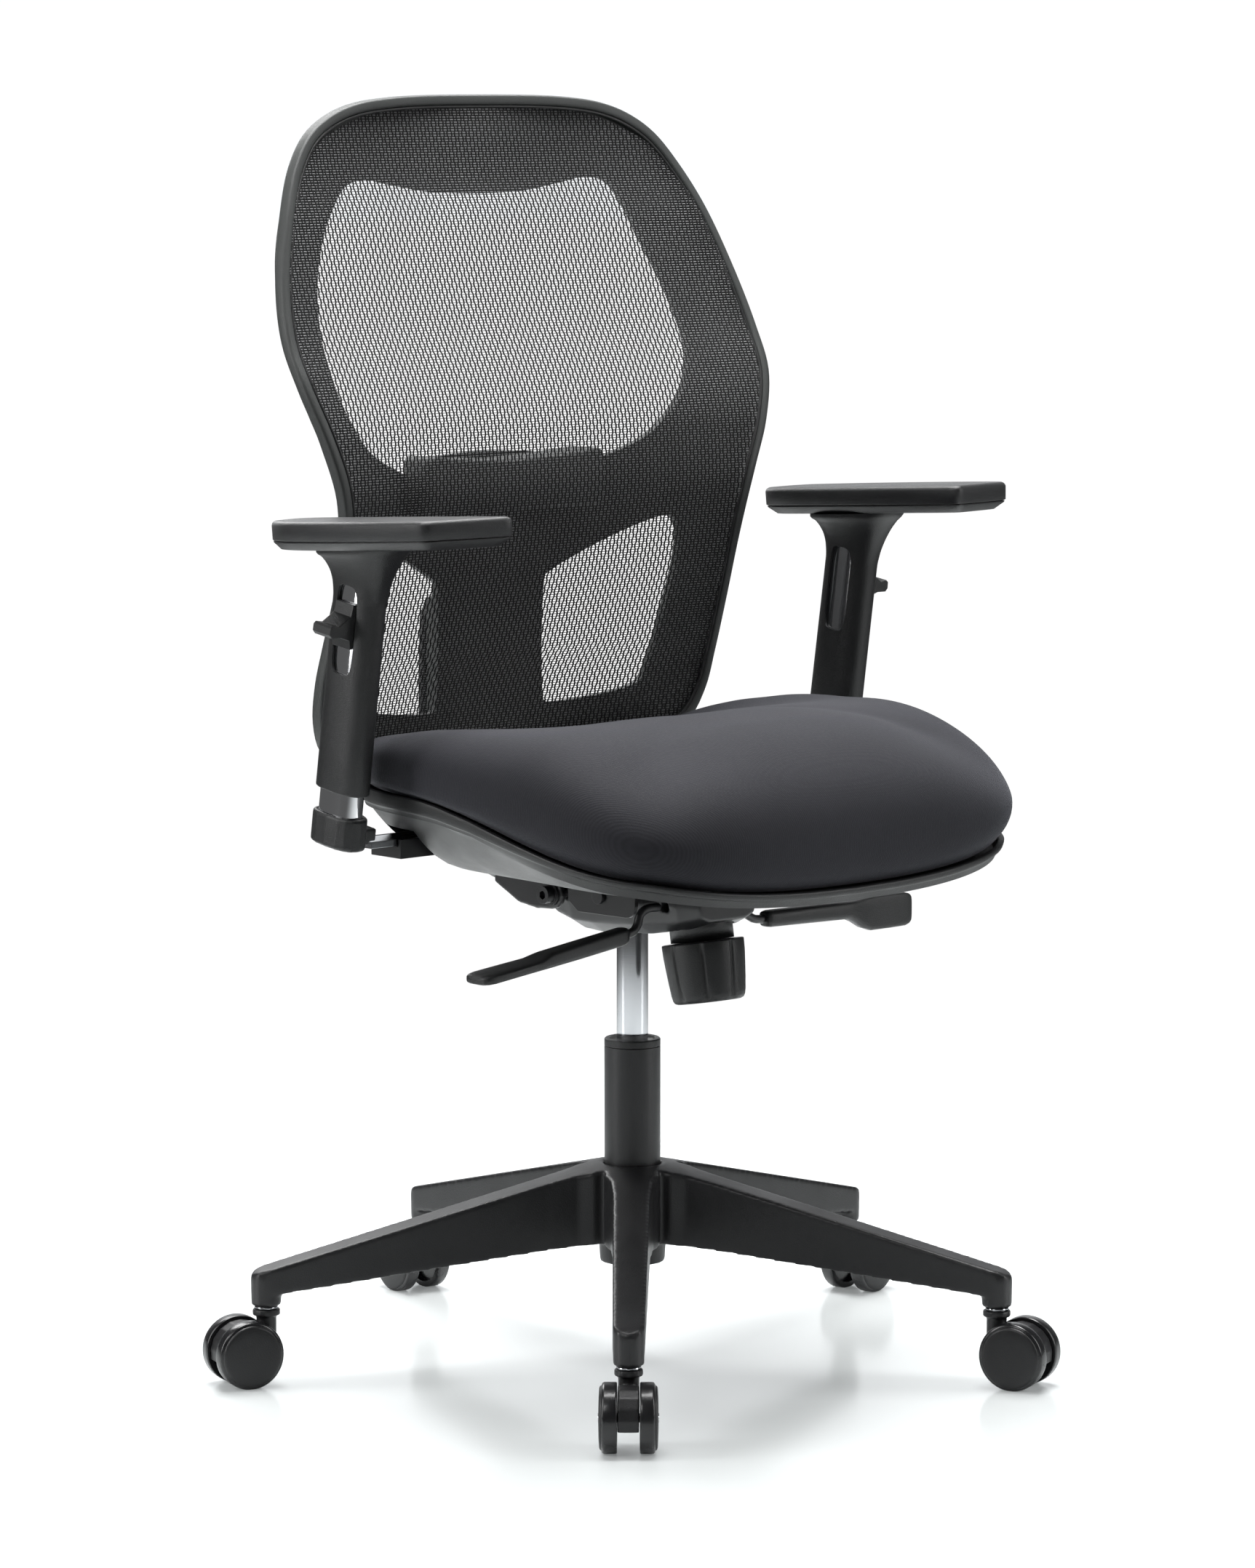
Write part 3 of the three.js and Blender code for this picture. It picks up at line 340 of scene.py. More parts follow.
def cutter(points, faces, matrix=TO_FRAME):
    data = bpy.data.meshes.new("cutter")
    data.from_pydata([matrix @ Vector(p) for p in points], [], faces)
    work = bmesh.new()
    work.from_mesh(data)
    bmesh.ops.recalc_face_normals(work, faces=work.faces)
    work.to_mesh(data)
    work.free()
    tool = bpy.data.objects.new("cutter", data)
    bpy.context.scene.collection.objects.link(tool)
    return tool


def block(x0, x1, y0, y1, z0, z1):
    """Points and faces of a box-shaped cutting tool."""
    return skin([[(x0, y0, z), (x1, y0, z), (x1, y1, z), (x0, y1, z)] for z in (z0, z1)])


def bake_modifiers(piece):
    """Replaces a piece's mesh by what its modifiers make of it."""
    view_layer = bpy.context.view_layer
    view_layer.update()
    result = bpy.data.meshes.new_from_object(piece.evaluated_get(view_layer.depsgraph))
    piece.modifiers.clear()
    piece.data = result


def carve(piece, *tools):
    """Cuts tools out of a piece and removes them."""
    for tool in tools:
        modifier = piece.modifiers.new("cut", "BOOLEAN")
        modifier.operation, modifier.solver, modifier.object = "DIFFERENCE", "EXACT", tool
    bake_modifiers(piece)
    for tool in tools:
        bpy.data.objects.remove(tool)


def round_edges(piece, width, angle=35, segments=2):
    """A small radius on a piece's edges, so that they catch the light."""
    modifier = piece.modifiers.new("radius", "BEVEL")
    modifier.width, modifier.segments = width * MM, segments
    modifier.limit_method, modifier.angle_limit = "ANGLE", math.radians(angle)
    modifier.harden_normals = True


def dress(node, material, width=0.0, angle=35):
    """Gives a CAD node its material, smooth shading and, where asked, a small edge radius."""
    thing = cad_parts[node]
    thing.data.materials.clear()
    thing.data.materials.append(material)
    if "custom_normal" in thing.data.attributes:
        thing.data.attributes.remove(thing.data.attributes["custom_normal"])
    thing.data.shade_smooth()
    weld = thing.modifiers.new("weld", "WELD")
    weld.merge_threshold = 1e-5
    if width:
        round_edges(thing, width, angle)
    return thing


def soften(node, material, voxel, rounds, factor=0.5):
    """Gives a CAD node its material and the soft, run-together edges of a moulding."""
    thing = dress(node, material)
    remesh = thing.modifiers.new("soften", "REMESH")
    remesh.mode, remesh.voxel_size, remesh.use_smooth_shade = "VOXEL", voxel * MM, True
    smooth = thing.modifiers.new("smooth", "SMOOTH")
    smooth.iterations, smooth.factor = rounds, factor
    return thing


# ---- base and lift --------------------------------------------------------------------------

soften("star_base", NYLON, 1.8, 9)
dress("piston_rod", SATIN)


def column_piece(name, profile, material, body, slot):
    piece = make(name, *lathe(profile, 96), material, body, slot)
    round_edges(piece, 0.5, 40)
    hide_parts(name.replace("_look", ""))
    return piece


column_piece("cylinder_tube_look", [(4.5, 92), (25, 92), (25, 283), (22, 283), (22, 97), (4.5, 97)],
             STEEL_PAINT, "base", "black_steel")
column_piece("gas_column_look", [(5.6, 200), (13, 200), (14, 201.5), (14, 396), (13, 426), (6, 426),
                                 (5, 434), (1, 434), (1, 420), (5.6, 418)],
             SATIN, "lift", "satin_steel")
bush = column_piece("guide_bush_look", [
    (14.3, 225), (21.7, 225), (21.7, 283.3), (25, 283.3), (25, 289), (24, 290), (20.6, 290),
    (19.6, 287.4), (14.6, 286), (14.3, 285.6)], MOULDED, "base", "grey_bush")
bush.data.materials.append(GREY_BUSH)
for face in bush.data.polygons:
    spot = face.center - AXIS
    if math.hypot(spot.x, spot.y) < 20.2 * MM and spot.z > 0.28:
        face.material_index = 1

# ---- casters --------------------------------------------------------------------------------

WHEEL_PROFILE = [
    (4.4, 0.5), (8, 0.5), (8, 6), (24.5, 6), (24.5, 0.4), (29.2, 0.4), (29.9, 1.2), (30, 3), (30, 10.6),
    (29.6, 12), (28.7, 12.9), (27.2, 13.3), (26.9, 13.9), (26.2, 14.8), (24.5, 15.3), (18, 15.7),
    (9, 15.95), (2, 16), (0.05, 16), (0.05, 14.9), (4.4, 14.8),
]


def wheel(number, side):
    """A wheel about its own axle, placed from the boxes of the CAD wheel and of its partner wheel."""
    node = f"caster_{number}_wheel_{side}"
    centre = [sum(ends) / 2 for ends in zip(*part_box(node))]
    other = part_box(f"caster_{number}_wheel_{'r' if side == 'l' else 'l'}")
    out = Vector(centre) - Vector([sum(ends) / 2 for ends in zip(*other)])
    out.z = 0
    out.normalize()
    turn = out.to_track_quat("Z", "Y").to_matrix().to_4x4()
    inner = Vector(centre) - out * (WHEEL["width"] / 2) * MM
    points, faces = lathe(WHEEL_PROFILE, 64)
    piece = make(f"{node}_look", points, faces, TREAD, node, "wheel",
                 Matrix.Translation(inner) @ turn @ Matrix.Scale(MM, 4))
    piece.data.materials.append(NYLON)
    for face in piece.data.polygons:
        away = (face.center - inner).dot(out)
        spoke = ((face.center - inner) - out * away).length
        if away > 13.5 * MM and spoke < 27.1 * MM:
            face.material_index = 1
    round_edges(piece, 0.25, 40)
    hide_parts(node)


for number in range(1, CASTERS + 1):
    wheel(number, "l")
    wheel(number, "r")
    soften(f"caster_{number}_hood", NYLON, 1.0, 6)
    dress(f"caster_{number}_stem", SATIN)
    dress(f"caster_{number}_axle", SATIN)

# ---- tilt mechanism and levers --------------------------------------------------------------

soften("mech_housing", STEEL_PAINT, 1.5, 6)
soften("back_carrier", STEEL_PAINT, 1.3, 5)
for node, width in (("seat_bracket", 0.8), ("back_pivot_bolt", 0.4), ("seat_pivot_pin", 0.4),
                    ("arm_rail", 0.5)):
    dress(node, STEEL_PAINT, width)
for node in ("height_lever_rod", "tilt_lever_rod"):
    soften(node, STEEL_PAINT, 0.8, 4)
dress("tension_tube", MOULDED)

KNOB_FRAME = (TO_FRAME @ Matrix.Translation((0, KNOB["y"], KNOB["z"]))
              @ Matrix.Rotation(math.radians(-KNOB["lean"]), 4, "X"))


def tension_knob():
    """A slow taper with eight grip grooves that open into small scallops at the bottom edge."""
    count, grooves = 240, 8
    profile = [(-26, 8), (-26, 23), (-25.8, 28.5), (-24.6, 31), (-22.2, 32.4), (-18, 33), (-8, 33.9),
               (4, 35), (16, 36), (25.6, 36.3), (26.6, 36.1), (27, 35.5), (27, 29), (26.2, 28.6),
               (26.2, 8)]
    rings = []
    for z, r in profile:
        depth = 1.6 if -23 < z < 26 else 0.6
        wide = 1.3 + 3.4 * max(0.0, min(1.0, (-14 - z) / 9))
        ring = []
        for i in range(count):
            a = TAU * i / count
            gap = (a * grooves / TAU + 0.5) % 1 - 0.5
            off = gap / grooves * TAU * r
            cut = depth * math.exp(-(off / wide) ** 2) if r > 26 and z < 26 else 0
            ring.append(((r - cut) * math.cos(a), (r - cut) * math.sin(a), z))
        rings.append(ring)
    piece = make("tension_knob_look", *skin(rings), MOULDED, "knob", "moulded_black", KNOB_FRAME)
    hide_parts("tension_knob")


tension_knob()


def grip(name, stations, body):
    """A lever's grip through [x, y, z, half depth, half height, squareness] stations."""
    rings = [[(x, y + dy, z + dz) for dy, dz in oval(deep, tall, square, 40)]
             for x, y, z, deep, tall, square in stations]
    piece = make(f"{name}_look", *skin(rings), MOULDED, body, "moulded_black")
    round_edges(piece, 0.8, 50)
    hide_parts(name)


grip("height_lever_handle", [
    (-91.4, LEVER_Y, 401.4, 5.5, 5.5, 3), (-92.6, LEVER_Y, 401.3, 7, 7, 3),
    (-97, LEVER_Y, 400.7, 8, 8, 3), (-150, LEVER_Y, 394, 9.2, 7.6, 3.5),
    (-184, LEVER_Y, 389.8, 11, 6.8, 4), (-189, LEVER_Y, 389, 12.4, 6.2, 4),
    (-199, LEVER_Y, 387.2, 14.4, 4.5, 5), (-225, LEVER_Y, 384.4, 15.4, 4.4, 5),
    (-252, LEVER_Y, 381.4, 16, 4.4, 5), (-258, LEVER_Y, 380.8, 15, 4.3, 4.5),
    (-261.6, LEVER_Y, 380.4, 13, 3.9, 4), (-263, LEVER_Y, 380.2, 11, 3.2, 4),
], "height_lever")
grip("tilt_lever_handle", [
    (92.4, TILT["y"], 395, 5.6, 5.6, 3), (93.4, TILT["y"], 395, 6.8, 6.8, 3),
    (98, TILT["y"], 395, 7.6, 7.6, 3), (150, TILT["y"], 394, 7.9, 7.9, 3.2),
    (193, TILT["y"], 393, 8, 8, 3.2), (203, TILT["y"], 391, 7.2, 10, 3.6),
    (212, TILT["y"], 388.6, 5.9, 13, 4), (224, TILT["y"], 387, 4.7, 15.3, 5),
    (248, TILT["y"], 387, 4.5, 15.5, 5), (268, TILT["y"], 387, 4.3, 15.3, 5),
    (273, TILT["y"], 387, 4, 14, 4.5), (276, TILT["y"], 387, 3.4, 12, 4),
], "tilt_lever")

# ---- seat -----------------------------------------------------------------------------------


def clamp(value, low=0.0, high=1.0):
    return min(max(value, low), high)


def mix(a, b, t):
    return a + (b - a) * t


def seat_plan(count, scale):
    return [(x, SEAT["middle"] + y)
            for x, y in oval(SEAT["half"] * scale, SEAT["depth"] * scale, SEAT["square"], count)]


LIP = [(-284, 468.5), (-210, 480.5), (-186, 485), (-149, 493), (-106, 503), (-56, 515), (-24, 521),
       (8, 524.5), (63, 526), (152, 528)]
WIDEST = [(-284, 497.1), (-160, 514.2), (90, 540.7), (152, 549.3)]


def front_dip(x, y):
    return 14 * max(0, 1 - (x / 210) ** 2) * clamp((-200 - y) / 84)


def lip_height(x, y):
    """Height of the shell's lip, which sweeps up along the sides."""
    return table(LIP, y) - front_dip(x, y)


def widest_height(x, y):
    """Height of the line where the cushion is widest."""
    return table(WIDEST, y) - front_dip(x, y)


def crown_height(x, y):
    crown = table([(-284, 585), (-120, 599), (20, 587.5), (94, 579), (152, 571.5)], y)
    dish = table([(-190, 0), (-60, 12), (20, 22), (94, 29), (152, 26)], y)
    t = clamp((abs(x) - 120) / 120)
    return crown - dish * (1 - t * t * (3 - 2 * t))


def seat_shell():
    count = 200

    def under(x, y, s):
        return mix(SHELL_FLOOR, lip_height(x, y) - 14, clamp((s - 0.6) / 0.38) ** 2.5)

    def ring(s, height):
        return [(x, y, height(x, y)) for x, y in seat_plan(count, s)]

    below = [0.08, 0.3, 0.5, 0.6, 0.66, 0.72, 0.78, 0.83, 0.87, 0.9, 0.925, 0.945, 0.96, 0.972]
    above = [0.965, 0.945, 0.92, 0.88, 0.83, 0.77, 0.71, 0.66, 0.6, 0.5, 0.3, 0.08]

    def crease(y):
        """How deep the lip's section is, shallow at the front and deeper behind."""
        return mix(5.5, 12, clamp((y + 186) / 190))

    lip = [(0.983, -1.45), (0.9865, -1.2), (0.9895, -1.12), (0.994, -1.06), (0.996, -0.98),
           (0.998, -0.7), (0.9995, -0.4), (1, -0.18), (0.9988, -0.06), (0.9955, -0.01), (0.99, 0),
           (0.984, -0.03), (0.981, -0.14), (0.979, -0.35)]
    rings = [ring(s, lambda x, y, s=s: under(x, y, s)) for s in below]
    rings += [ring(s, lambda x, y, drop=drop: lip_height(x, y) + drop * crease(y))
              for s, drop in lip]
    rings += [ring(s, lambda x, y, s=s: under(x, y, s) + 5) for s in above]
    piece = make("seat_shell_look", *skin(rings), MOULDED, "seat", "moulded_black")
    carve(piece, *(cutter(*block(min(s * 120, s * 270), max(s * 120, s * 270), 28, 88, 430, 493))
                   for s in (1, -1)))
    piece.data.shade_smooth()
    round_edges(piece, 0.7, 40)
    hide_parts("seat_shell")


seat_shell()


def evened(piece, shifts, passes=40):
    """Averages each vertex's shift with its neighbours', which takes out dents but keeps the swell."""
    neighbours = [[] for _ in shifts]
    for edge in piece.data.edges:
        a, b = edge.vertices
        neighbours[a].append(b)
        neighbours[b].append(a)
    for _ in range(passes):
        shifts = [shift * 0.5 + sum((shifts[k] for k in near), Vector()) * (0.5 / len(near))
                  for shift, near in zip(shifts, neighbours)]
    return shifts


def inflate(piece, pinned, pressure, cap):
    """Presses a fabric cover outwards from its foam for 20 frames, then keeps the result."""
    group = piece.vertex_groups.new(name="held")
    group.add([v.index for v in piece.data.vertices if pinned(v.co)], 1.0, "REPLACE")
    start = [v.co.copy() for v in piece.data.vertices]
    cloth = piece.modifiers.new("cover", "CLOTH")
    settings = cloth.settings
    settings.quality, settings.mass = 6, 0.3
    settings.tension_stiffness = settings.compression_stiffness = 25
    settings.bending_stiffness = 4
    settings.use_pressure, settings.uniform_pressure_force = True, pressure
    settings.effector_weights.gravity = 0
    settings.vertex_group_mass = "held"
    cloth.collision_settings.use_collision = False
    cloth.point_cache.frame_start, cloth.point_cache.frame_end = 1, 20
    scene = bpy.context.scene
    for step in range(1, 21):
        scene.frame_set(step)
    shaped = piece.evaluated_get(bpy.context.view_layer.depsgraph)
    moved = [v.co.copy() for v in shaped.data.vertices]
    piece.modifiers.remove(cloth)
    scene.frame_set(1)
    shifts = [after - before for before, after in zip(start, moved)]
    shifts = [shift * min(1, cap / max(shift.length, 1e-9)) for shift in shifts]
    for vertex, before, shift in zip(piece.data.vertices, start, evened(piece, shifts)):
        vertex.co = before + shift
    piece.data.update()


def seat_cushion():
    """The upholstered seat: foam in a tight cover, tucked into the shell's lip."""
    count = 200
    swell = 5.0

    def roll(s, y, i):
        side, corner = abs(math.cos(TAU * i / count)), abs(math.sin(2 * TAU * i / count))
        power = 3.4 + 0.5 * side - 1.25 * corner + 4 * clamp((y + 60) / 150) * side
        return (1 - s ** power) ** (1 / power)

    def tucked(s, lift, share=0.0):
        return [(x, y, mix(lip_height(x, y), widest_height(x, y), share) + lift)
                for x, y in seat_plan(count, s)]

    full = SEAT["bulge"] - 0.006
    rings = [tucked(s, lift) for s, lift in (
        (0.1, -3.5), (0.3, -3.5), (0.5, -3.5), (0.7, -3.5), (0.85, -3.5), (0.93, -3.2), (0.958, -1.8),
        (0.973, 1))]
    rings += [tucked(s, 0, share) for s, share in ((0.985, 0.18), (0.998, 0.34), (1.011, 0.5))]
    rings.append(tucked(full - 0.004, -1, 0.9))
    for k in range(1, 31):
        s = math.cos(k / 31 * math.pi / 2) ** 0.55
        rings.append([(x, y, mix(widest_height(x, y), crown_height(x, y) - swell, roll(s, y, i)))
                      for i, (x, y) in enumerate(seat_plan(count, full * s))])
    piece = make("seat_cushion_look", *skin(rings), FABRIC, "seat", "seat_fabric")
    inflate(piece, lambda v: v.z < lip_height((v.x - AXIS.x) / MM, (v.y - AXIS.y) / MM) * MM + 0.004,
            4, swell * MM)
    finish = piece.modifiers.new("smooth", "SUBSURF")
    finish.levels = finish.render_levels = 1
    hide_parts("seat_cushion")


seat_cushion()

# ---- back -----------------------------------------------------------------------------------

BACK_HALF = [(527, 150), (533, 194), (548, 219), (575, 232), (610, 236), (640, 236), (680, 235),
             (715, 235), (740, 238), (780, 246), (825, 262), (850, 271), (875, 277), (900, 279),
             (925, 276), (975, 266), (1020, 249), (1060, 228), (1088, 205), (1104, 180), (1115, 148),
             (1121, 100)]
RIM_Y = [(527, 166), (575, 156), (613, 147), (660, 132), (700, 119), (740, 111), (780, 105),
         (825, 107), (850, 112), (875, 121), (925, 145), (975, 162), (1020, 176), (1060, 190),
         (1088, 198), (1121, 206)]
SPINE_Y = [(527, 192), (565, 194), (685, 194), (795, 200), (900, 202), (1037, 205), (1121, 212)]
LEVELS = [527, 533, 548, 575, 610, 660, 715, 750, 785, 825, 870, 910, 960, 1020, 1060, 1088, 1104,
          1115, 1121]
FOOT, TOP, SKIN = 527, 1121, 7
UPPER_WINDOW = [(50, 1036), (98, 1043), (132, 1048), (156, 1043), (174, 1022), (193, 985),
                (208, 945), (215, 900), (207, 862), (190, 835), (165, 811), (130, 795), (100, 787),
                (72, 798)]
LOWER_WINDOW = [(65, 572), (67, 570), (160, 580), (172, 590), (189, 725), (184, 737), (172, 737),
                (67, 689), (65, 687)]


# Lumbar ridge that stands forward of the shell: across, front, top.
RIDGE = [(0, 156, 797), (40, 155, 798.5), (75, 153, 801), (98, 151, 803.5), (107, 152, 800)]


def half_at(z):
    return table(BACK_HALF, z)


def trough_y(x, z):
    """The shell's hollow, which turns up to the rim more suddenly near the top."""
    power = 2 + 3 * clamp((z - 880) / 120) ** 2
    return mix(table(SPINE_Y, z), table(RIM_Y, z), min(1, abs(x / half_at(z)) ** power))


def rim_path(step):
    side = [(half_at(z), table(RIM_Y, z), z) for z in LEVELS]
    return curve([(0, trough_y(0, FOOT), FOOT - 2), *side, (0, trough_y(0, TOP), TOP + 2),
                  *((-x, y, z) for x, y, z in reversed(side))], step)


def along_rim(step, section, inset):
    """Rings that follow the rim, with each (outward, rearward) section point set in from it."""
    path = rim_path(step)
    rings = []
    for k, middle in enumerate(path):
        ahead = path[(k + 1) % len(path)] - path[k - 1]
        outward = Vector((ahead.z, 0, -ahead.x)).normalized()
        rings.append([middle + outward * (a - inset) + Vector((0, b, 0)) for a, b in section])
    return rings


def window_tool(outline):
    shape = curve([(x, 0, z) for x, z in outline], 6)
    return cutter(*skin([[(p.x, y, p.z) for p in shape] for y in (60, 350)]))


def back_rim():
    """The bead that runs round the back."""
    wide, deep = BEAD["wide"], BEAD["front"] + BEAD["rear"]
    section = [(a, b + (BEAD["rear"] - BEAD["front"]) / 2) for a, b in oval(wide / 2, deep / 2, 4, 24)]
    return make("back_rim", *skin(along_rim(7, section, wide / 2), loop=True), FRAME_GREY, "back",
                "frame_grey")


def back_shell():
    """The hollowed sheet inside the bead, with its upper and lower windows."""
    columns, rows = 56, 84
    points, faces = [], []
    for offset in (1, 1 + SKIN):
        for j in range(rows + 1):
            z = mix(FOOT, TOP, j / rows)
            for i in range(columns + 1):
                x = mix(-1, 1, i / columns) * (half_at(z) - 3)
                points.append((x, trough_y(x, z) + offset, z))
    width, sheet = columns + 1, (columns + 1) * (rows + 1)
    for j in range(rows):
        for i in range(columns):
            a = j * width + i
            quad = (a, a + 1, a + 1 + width, a + width)
            faces += [quad, tuple(sheet + v for v in reversed(quad))]
    edge = ([i for i in range(columns)] + [j * width + columns for j in range(rows)]
            + [rows * width + i for i in range(columns, 0, -1)]
            + [j * width for j in range(rows, 0, -1)])
    faces += [(a, b, sheet + b, sheet + a) for a, b in zip(edge, edge[1:] + edge[:1])]
    shell = make("back_shell", points, faces, FRAME_GREY, "back", "frame_grey")
    mirrored = [(-x, z) for x, z in reversed(UPPER_WINDOW)]
    carve(shell, window_tool(UPPER_WINDOW + mirrored), window_tool(LOWER_WINDOW),
          window_tool([(-x, z) for x, z in reversed(LOWER_WINDOW)]))
    shell.data.shade_smooth()
    round_edges(shell, 1.2, 45)
    return shell


def lumbar_ridge():
    """The ridge between the windows, which rounds back into the shell at both ends."""
    ends = [(-x, *rest) for x, *rest in reversed(RIDGE[1:])]
    reach, steps = RIDGE[-1][0], 56
    sections = []
    for k in range(steps + 1):
        x = mix(-reach, reach, k / steps)
        front, top = (table([(station[0], station[n]) for station in ends + RIDGE], x) for n in (1, 2))
        back, away = trough_y(x, 780) + 5, 6 * max(0, (abs(x) - 101) / 6) ** 2
        sections.append([(x, y, z) for y, z in (
            (front + 4 + away, 752), (front + 1 + away, 754.5), (front + away, 758),
            (front + away, top - 4), (front + 1.2 + away, top - 1.2 - away / 2),
            (front + 4 + away, top - away / 2), (back, top - away / 2), (back, 752))])
    ridge = make("back_lumbar_ridge", *skin(sections), FRAME_GREY, "back", "frame_grey")
    round_edges(ridge, 1.5, 50)
    return ridge


def mounting_pad():
    """The flat pad behind the shell that the carrier is screwed to."""
    behind = 213.9
    pad = make("back_mounting_pad", *skin([
        [(-half, behind - 14, z), (half, behind - 14, z), (half, behind, z), (-half, behind, z)]
        for z, half in ((527, 50), (560, 58), (655, 58), (690, 46))]), FRAME_GREY, "back", "frame_grey")
    round_edges(pad, 2, 45)
    return pad


def back_frame():
    rim, shell, ridge, pad = back_rim(), back_shell(), lumbar_ridge(), mounting_pad()
    for piece in (rim, shell, pad, ridge):
        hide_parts("back_frame")


back_frame()


def back_mesh():
    """The stretched mesh and the welt that holds its edge in the rim."""
    inset = BEAD["wide"] + 0.8
    bottom, top = FOOT + inset, TOP - inset
    edge_half = [(bottom, 527), (bottom + 6, 535), (bottom + 20, 549), (610, 610), (1060, 1060),
                 (top - 18, 1104), (top - 8, 1114), (top, 1120)]
    columns, rows = 44, 84
    points, faces = [], []
    for j in range(rows + 1):
        z = mix(bottom, top, j / rows)
        half = half_at(table(edge_half, z)) - inset
        for i in range(columns + 1):
            u = mix(-1, 1, i / columns)
            near = min(z - bottom, top - z)
            sag = 11 * (1 - u * u) * clamp(near / 60)
            flat = table(RIM_Y, z) + sag
            y = mix(flat, trough_y(u * half, z), max(0, 1 - near / 90)) - 3
            points.append((u * half, y, z))
    width = columns + 1
    for j in range(rows):
        for i in range(columns):
            a = j * width + i
            faces.append((a, a + 1, a + 1 + width, a + width))
    web = make("back_mesh_look", points, faces, MESH, "back", "mesh_fabric")
    section = [(1.5 * math.cos(TAU * i / 8), 1.5 * math.sin(TAU * i / 8) - 2.6) for i in range(8)]
    welt = make("back_welt", *skin(along_rim(7, section, inset + 0.4), loop=True), MOULDED, "back",
                "mesh_fabric")
    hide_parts("back_mesh")


back_mesh()

# ---- arms -----------------------------------------------------------------------------------

PAD_PLAN = [(-26, -139), (-22, -138.4), (44, -123.6), (49, -122), (52, -119.5), (54, -115), (59, -60),
            (57, 25), (46, 80), (24, 114), (0, 124), (-20, 120), (-30, 104), (-33, 40), (-34, -60),
            (-32.4, -128), (-31.4, -134), (-29, -138)]
POST = (12.5, 23)


def armrest(side, sign):
    name = f"arm_{side}"
    lean, tilt = math.radians(ARM["lean"]), math.radians(PAD["tilt"])
    post = (TO_FRAME @ Matrix.Translation((sign * ARM[side], ARM["y"], ARM["z"]))
            @ Matrix.Rotation(lean, 4, "X"))
    seat_of_pad = (TO_FRAME @ Matrix.Translation((sign * ARM[side], 0, PAD["z"]))
                   @ Matrix.Rotation(-tilt, 4, "X"))
    slope = -math.tan(lean + tilt)
    meets = ((PAD["z"] - ARM["z"] - math.tan(tilt) * ARM["y"])
             / (math.cos(lean) - math.tan(tilt) * math.sin(lean)))

    def ring(half_x, half_y, height, slant=0.0):
        return [(x, y, height + slant * y) for x, y in oval(half_x, half_y, 2.6, 64)]

    def post_ring(grow, height):
        return ring(POST[0] + grow, POST[1] + grow, height)

    # Sleeve: a plain oval column that opens like a trumpet under the pad.
    end = meets - 0.3
    flare = [(40.5, 15, 28.5, 0), (205, 15, 28, 0), (217, 15.7, 29.6, 0.1), (227, 17.5, 32.6, 0.3),
             (236, 20.5, 37, 0.6), (244, 24.5, 43, 0.85), (end - 2.7, 27.7, 48.6, 1), (end, 28, 49, 1)]

    def flared(height):
        half_x, half_y, share = (table([(f[0], f[k]) for f in flare], height) for k in (1, 2, 3))
        return ring(half_x, half_y, height, share * slope)

    trumpet = [mix(205, end, k / 20) for k in range(21)]
    rings = [ring(14.3, 27.8, 39), ring(14.8, 28.3, 39.5)]
    rings += [flared(height) for height in (40.5, 80, 120, 160, 190, *trumpet)]
    sleeve = make(f"{name}_sleeve_look", *skin(rings), MOULDED, f"{name}_top", "moulded_black", post)
    window = curve([(0, y, z + 181) for y, z in oval(13.5, 39, 5, 32)], 3)
    carve(sleeve, cutter(*skin([post_ring(0.3, 30), post_ring(0.3, 242)]), post),
          cutter(*skin([[(x, p.y, p.z) for p in window] for x in (-30, 30)]), post))
    sleeve.data.shade_smooth()
    round_edges(sleeve, 0.9, 40, 3)
    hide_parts(f"{name}_sleeve")

    # Chromed inner tube.
    tube = make(f"{name}_tube_look", *skin([post_ring(0, -5), post_ring(0, 222)]), CHROME,
                f"{name}_slider", "chrome", post)
    carve(tube, cutter(*skin([post_ring(-2, -20), post_ring(-2, 240)]), post))
    tube.data.shade_smooth()
    round_edges(tube, 0.4, 40)
    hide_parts(f"{name}_tube")

    soften(f"{name}_cup", MOULDED, 0.9, 8)
    dress(f"{name}_trigger", MOULDED, 0.9)
    dress(f"{name}_bar", SATIN, 0.5)

    # Pad: a round-shouldered top over a base that tapers in underneath.
    outline = curve([(x, y, 0) for x, y in PAD_PLAN], 3)

    def layer(levels_and_insets):
        return [[(sign * (12 + (p.x - 12) * (1 - inset / 46)), p.y * (1 - inset / 138), z)
                 for p in outline] for z, inset in levels_and_insets]

    thick, split = PAD["thick"], PAD["split"]
    shoulder = 4.5
    arc = [(thick - 1.2 - shoulder * (1 - math.sin(math.radians(a))),
            shoulder * (1 - math.cos(math.radians(a)))) for a in range(0, 91, 10)]
    crown = [(thick - 1.2 + 1.2 * (1 - (1 - t) ** 2), mix(shoulder, 44, t)) for t in (0.15, 0.4, 0.7, 1)]
    top = make(f"{name}_pad_look", *skin(layer([(split, 1.6), (split + 0.8, 0.4), *arc, *crown])), SOFT,
               f"{name}_top", "arm_soft", seat_of_pad)
    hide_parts(f"{name}_pad")
    under = make(f"{name}_pad_base_look", *skin(layer([
        (0, 40), (0, 12), (0.3, 9.4), (1.2, 8.2), (split - 1.6, 1.6), (split - 0.5, 1.2), (split - 0.3, 2),
        (split - 0.3, 40)])), MOULDED, f"{name}_top", "moulded_black", seat_of_pad)
    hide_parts(f"{name}_pad_base")


armrest("right", -1)
armrest("left", 1)

# ---- studio ---------------------------------------------------------------------------------


def only_seen(tree, lit, seen):
    """A strength for what the camera sees of a surface and another for the light it gives."""
    return spread(tree, add(tree, "LightPath").outputs["Is Camera Ray"], lit, seen, 0, 1)


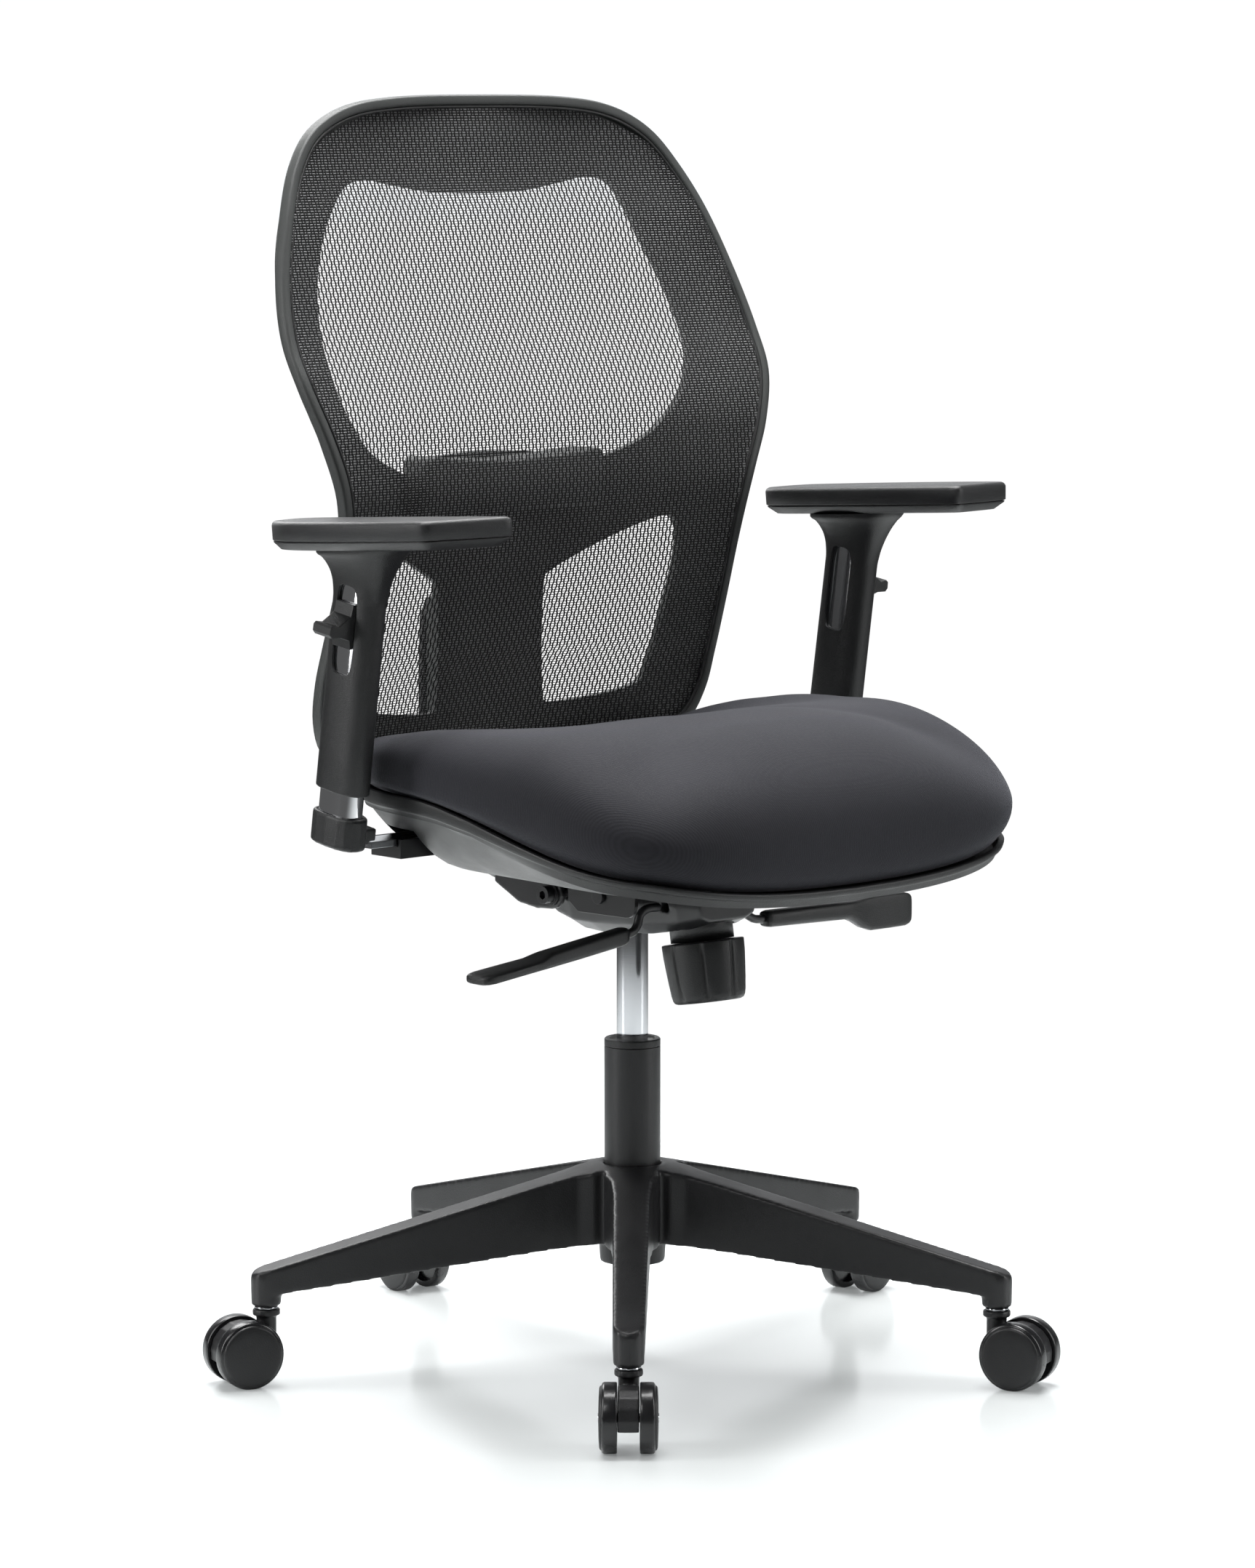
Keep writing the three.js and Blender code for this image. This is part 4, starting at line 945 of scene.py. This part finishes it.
def studio_floor():
    """A pale, slightly glossy floor that runs out into plain white."""
    bpy.ops.mesh.primitive_circle_add(vertices=96, radius=40, fill_type="NGON")
    floor = bpy.context.object
    floor.name = "studio_floor"
    material, tree, shader = new_material("studio floor", Roughness=0.14, Specular_IOR_Level=0.5)
    shader.inputs["Base Color"].default_value = (0.80, 0.83, 0.83, 1)
    shader.inputs["Emission Color"].default_value = (0.93, 0.97, 0.97, 1)
    tree.links.new(only_seen(tree, 0.05, 0.18), shader.inputs["Emission Strength"])
    glow = add(tree, "Emission", Color=(1, 1, 1, 1))
    tree.links.new(only_seen(tree, 0.10, 1.02), glow.inputs["Strength"])
    length = add(tree, "VectorMath", operation="LENGTH")
    tree.links.new(place(tree), length.inputs[0])
    fade = add(tree, "MapRange", interpolation_type="SMOOTHSTEP")
    for key, number in (("From Min", 0.55), ("From Max", 2.2), ("To Min", 0.0), ("To Max", 1.0)):
        fade.inputs[key].default_value = number
    tree.links.new(length.outputs["Value"], fade.inputs["Value"])
    mixer = add(tree, "MixShader")
    tree.links.new(fade.outputs[0], mixer.inputs[0])
    tree.links.new(shader.outputs[0], mixer.inputs[1])
    tree.links.new(glow.outputs[0], mixer.inputs[2])
    tree.links.new(mixer.outputs[0], tree.nodes["Material Output"].inputs["Surface"])
    floor.data.materials.append(material)


def softbox(name, where, target, size, power, colour=(1, 1, 1)):
    light = bpy.data.lights.new(name, "AREA")
    light.shape, light.size, light.size_y = "RECTANGLE", *size
    light.energy, light.color = power, colour
    lamp = bpy.data.objects.new(name, light)
    lamp.location = where
    lamp.rotation_euler = (Vector(target) - Vector(where)).to_track_quat("-Z", "Y").to_euler()
    bpy.context.scene.collection.objects.link(lamp)


def studio():
    studio_floor()
    world = bpy.data.worlds.new("studio")
    bpy.context.scene.world = world
    world.use_nodes = True
    tree = world.node_tree
    sky = tree.nodes["Background"]
    sky.inputs["Color"].default_value = (0.96, 0.98, 1.0, 1)
    bearing = math.radians(CAMERA["bearing"])
    facing = add(tree, "VectorMath", operation="DOT_PRODUCT")
    tree.links.new(add(tree, "TexCoord").outputs["Generated"], facing.inputs[0])
    facing.inputs[1].default_value = (math.sin(bearing), math.cos(bearing), 0)
    backdrop = spread(tree, facing.outputs["Value"], 0.05, 0.9, 0.80, 0.95)
    tree.links.new(calc(tree, "MAXIMUM", backdrop, only_seen(tree, 0, 1.05)), sky.inputs["Strength"])
    middle = (AXIS.x, AXIS.y, 0.6)

    def around(angle, distance, height):
        """A point at an angle from the camera's side, clockwise seen from above."""
        a = bearing + math.radians(angle)
        return (AXIS.x - distance * math.sin(a), AXIS.y - distance * math.cos(a), height)

    softbox("front", around(30, 3.0, 2.6), middle, (1.2, 1.2), 22)
    softbox("left", around(75, 2.4, 1.3), middle, (0.7, 2.0), 30)
    softbox("right", around(-80, 2.4, 1.3), middle, (0.7, 2.0), 23)
    softbox("top", around(180, 0.5, 2.9), middle, (2.2, 2.2), 165)
    softbox("behind", around(150, 2.4, 2.0), middle, (1.0, 1.4), 24)
    bpy.context.scene.view_settings.view_transform = "Standard"

    camera = bpy.data.cameras.new("camera")
    camera.sensor_width, camera.lens = 36, CAMERA["lens"]
    camera.clip_end = 100
    holder = bpy.data.objects.new("camera", camera)
    holder.location = around(0, CAMERA["distance"], CAMERA["height"])
    holder.rotation_euler = (math.radians(90 - CAMERA["pitch"]), 0, -math.radians(CAMERA["heading"]))
    bpy.context.scene.collection.objects.link(holder)
    bpy.context.scene.camera = holder


studio()
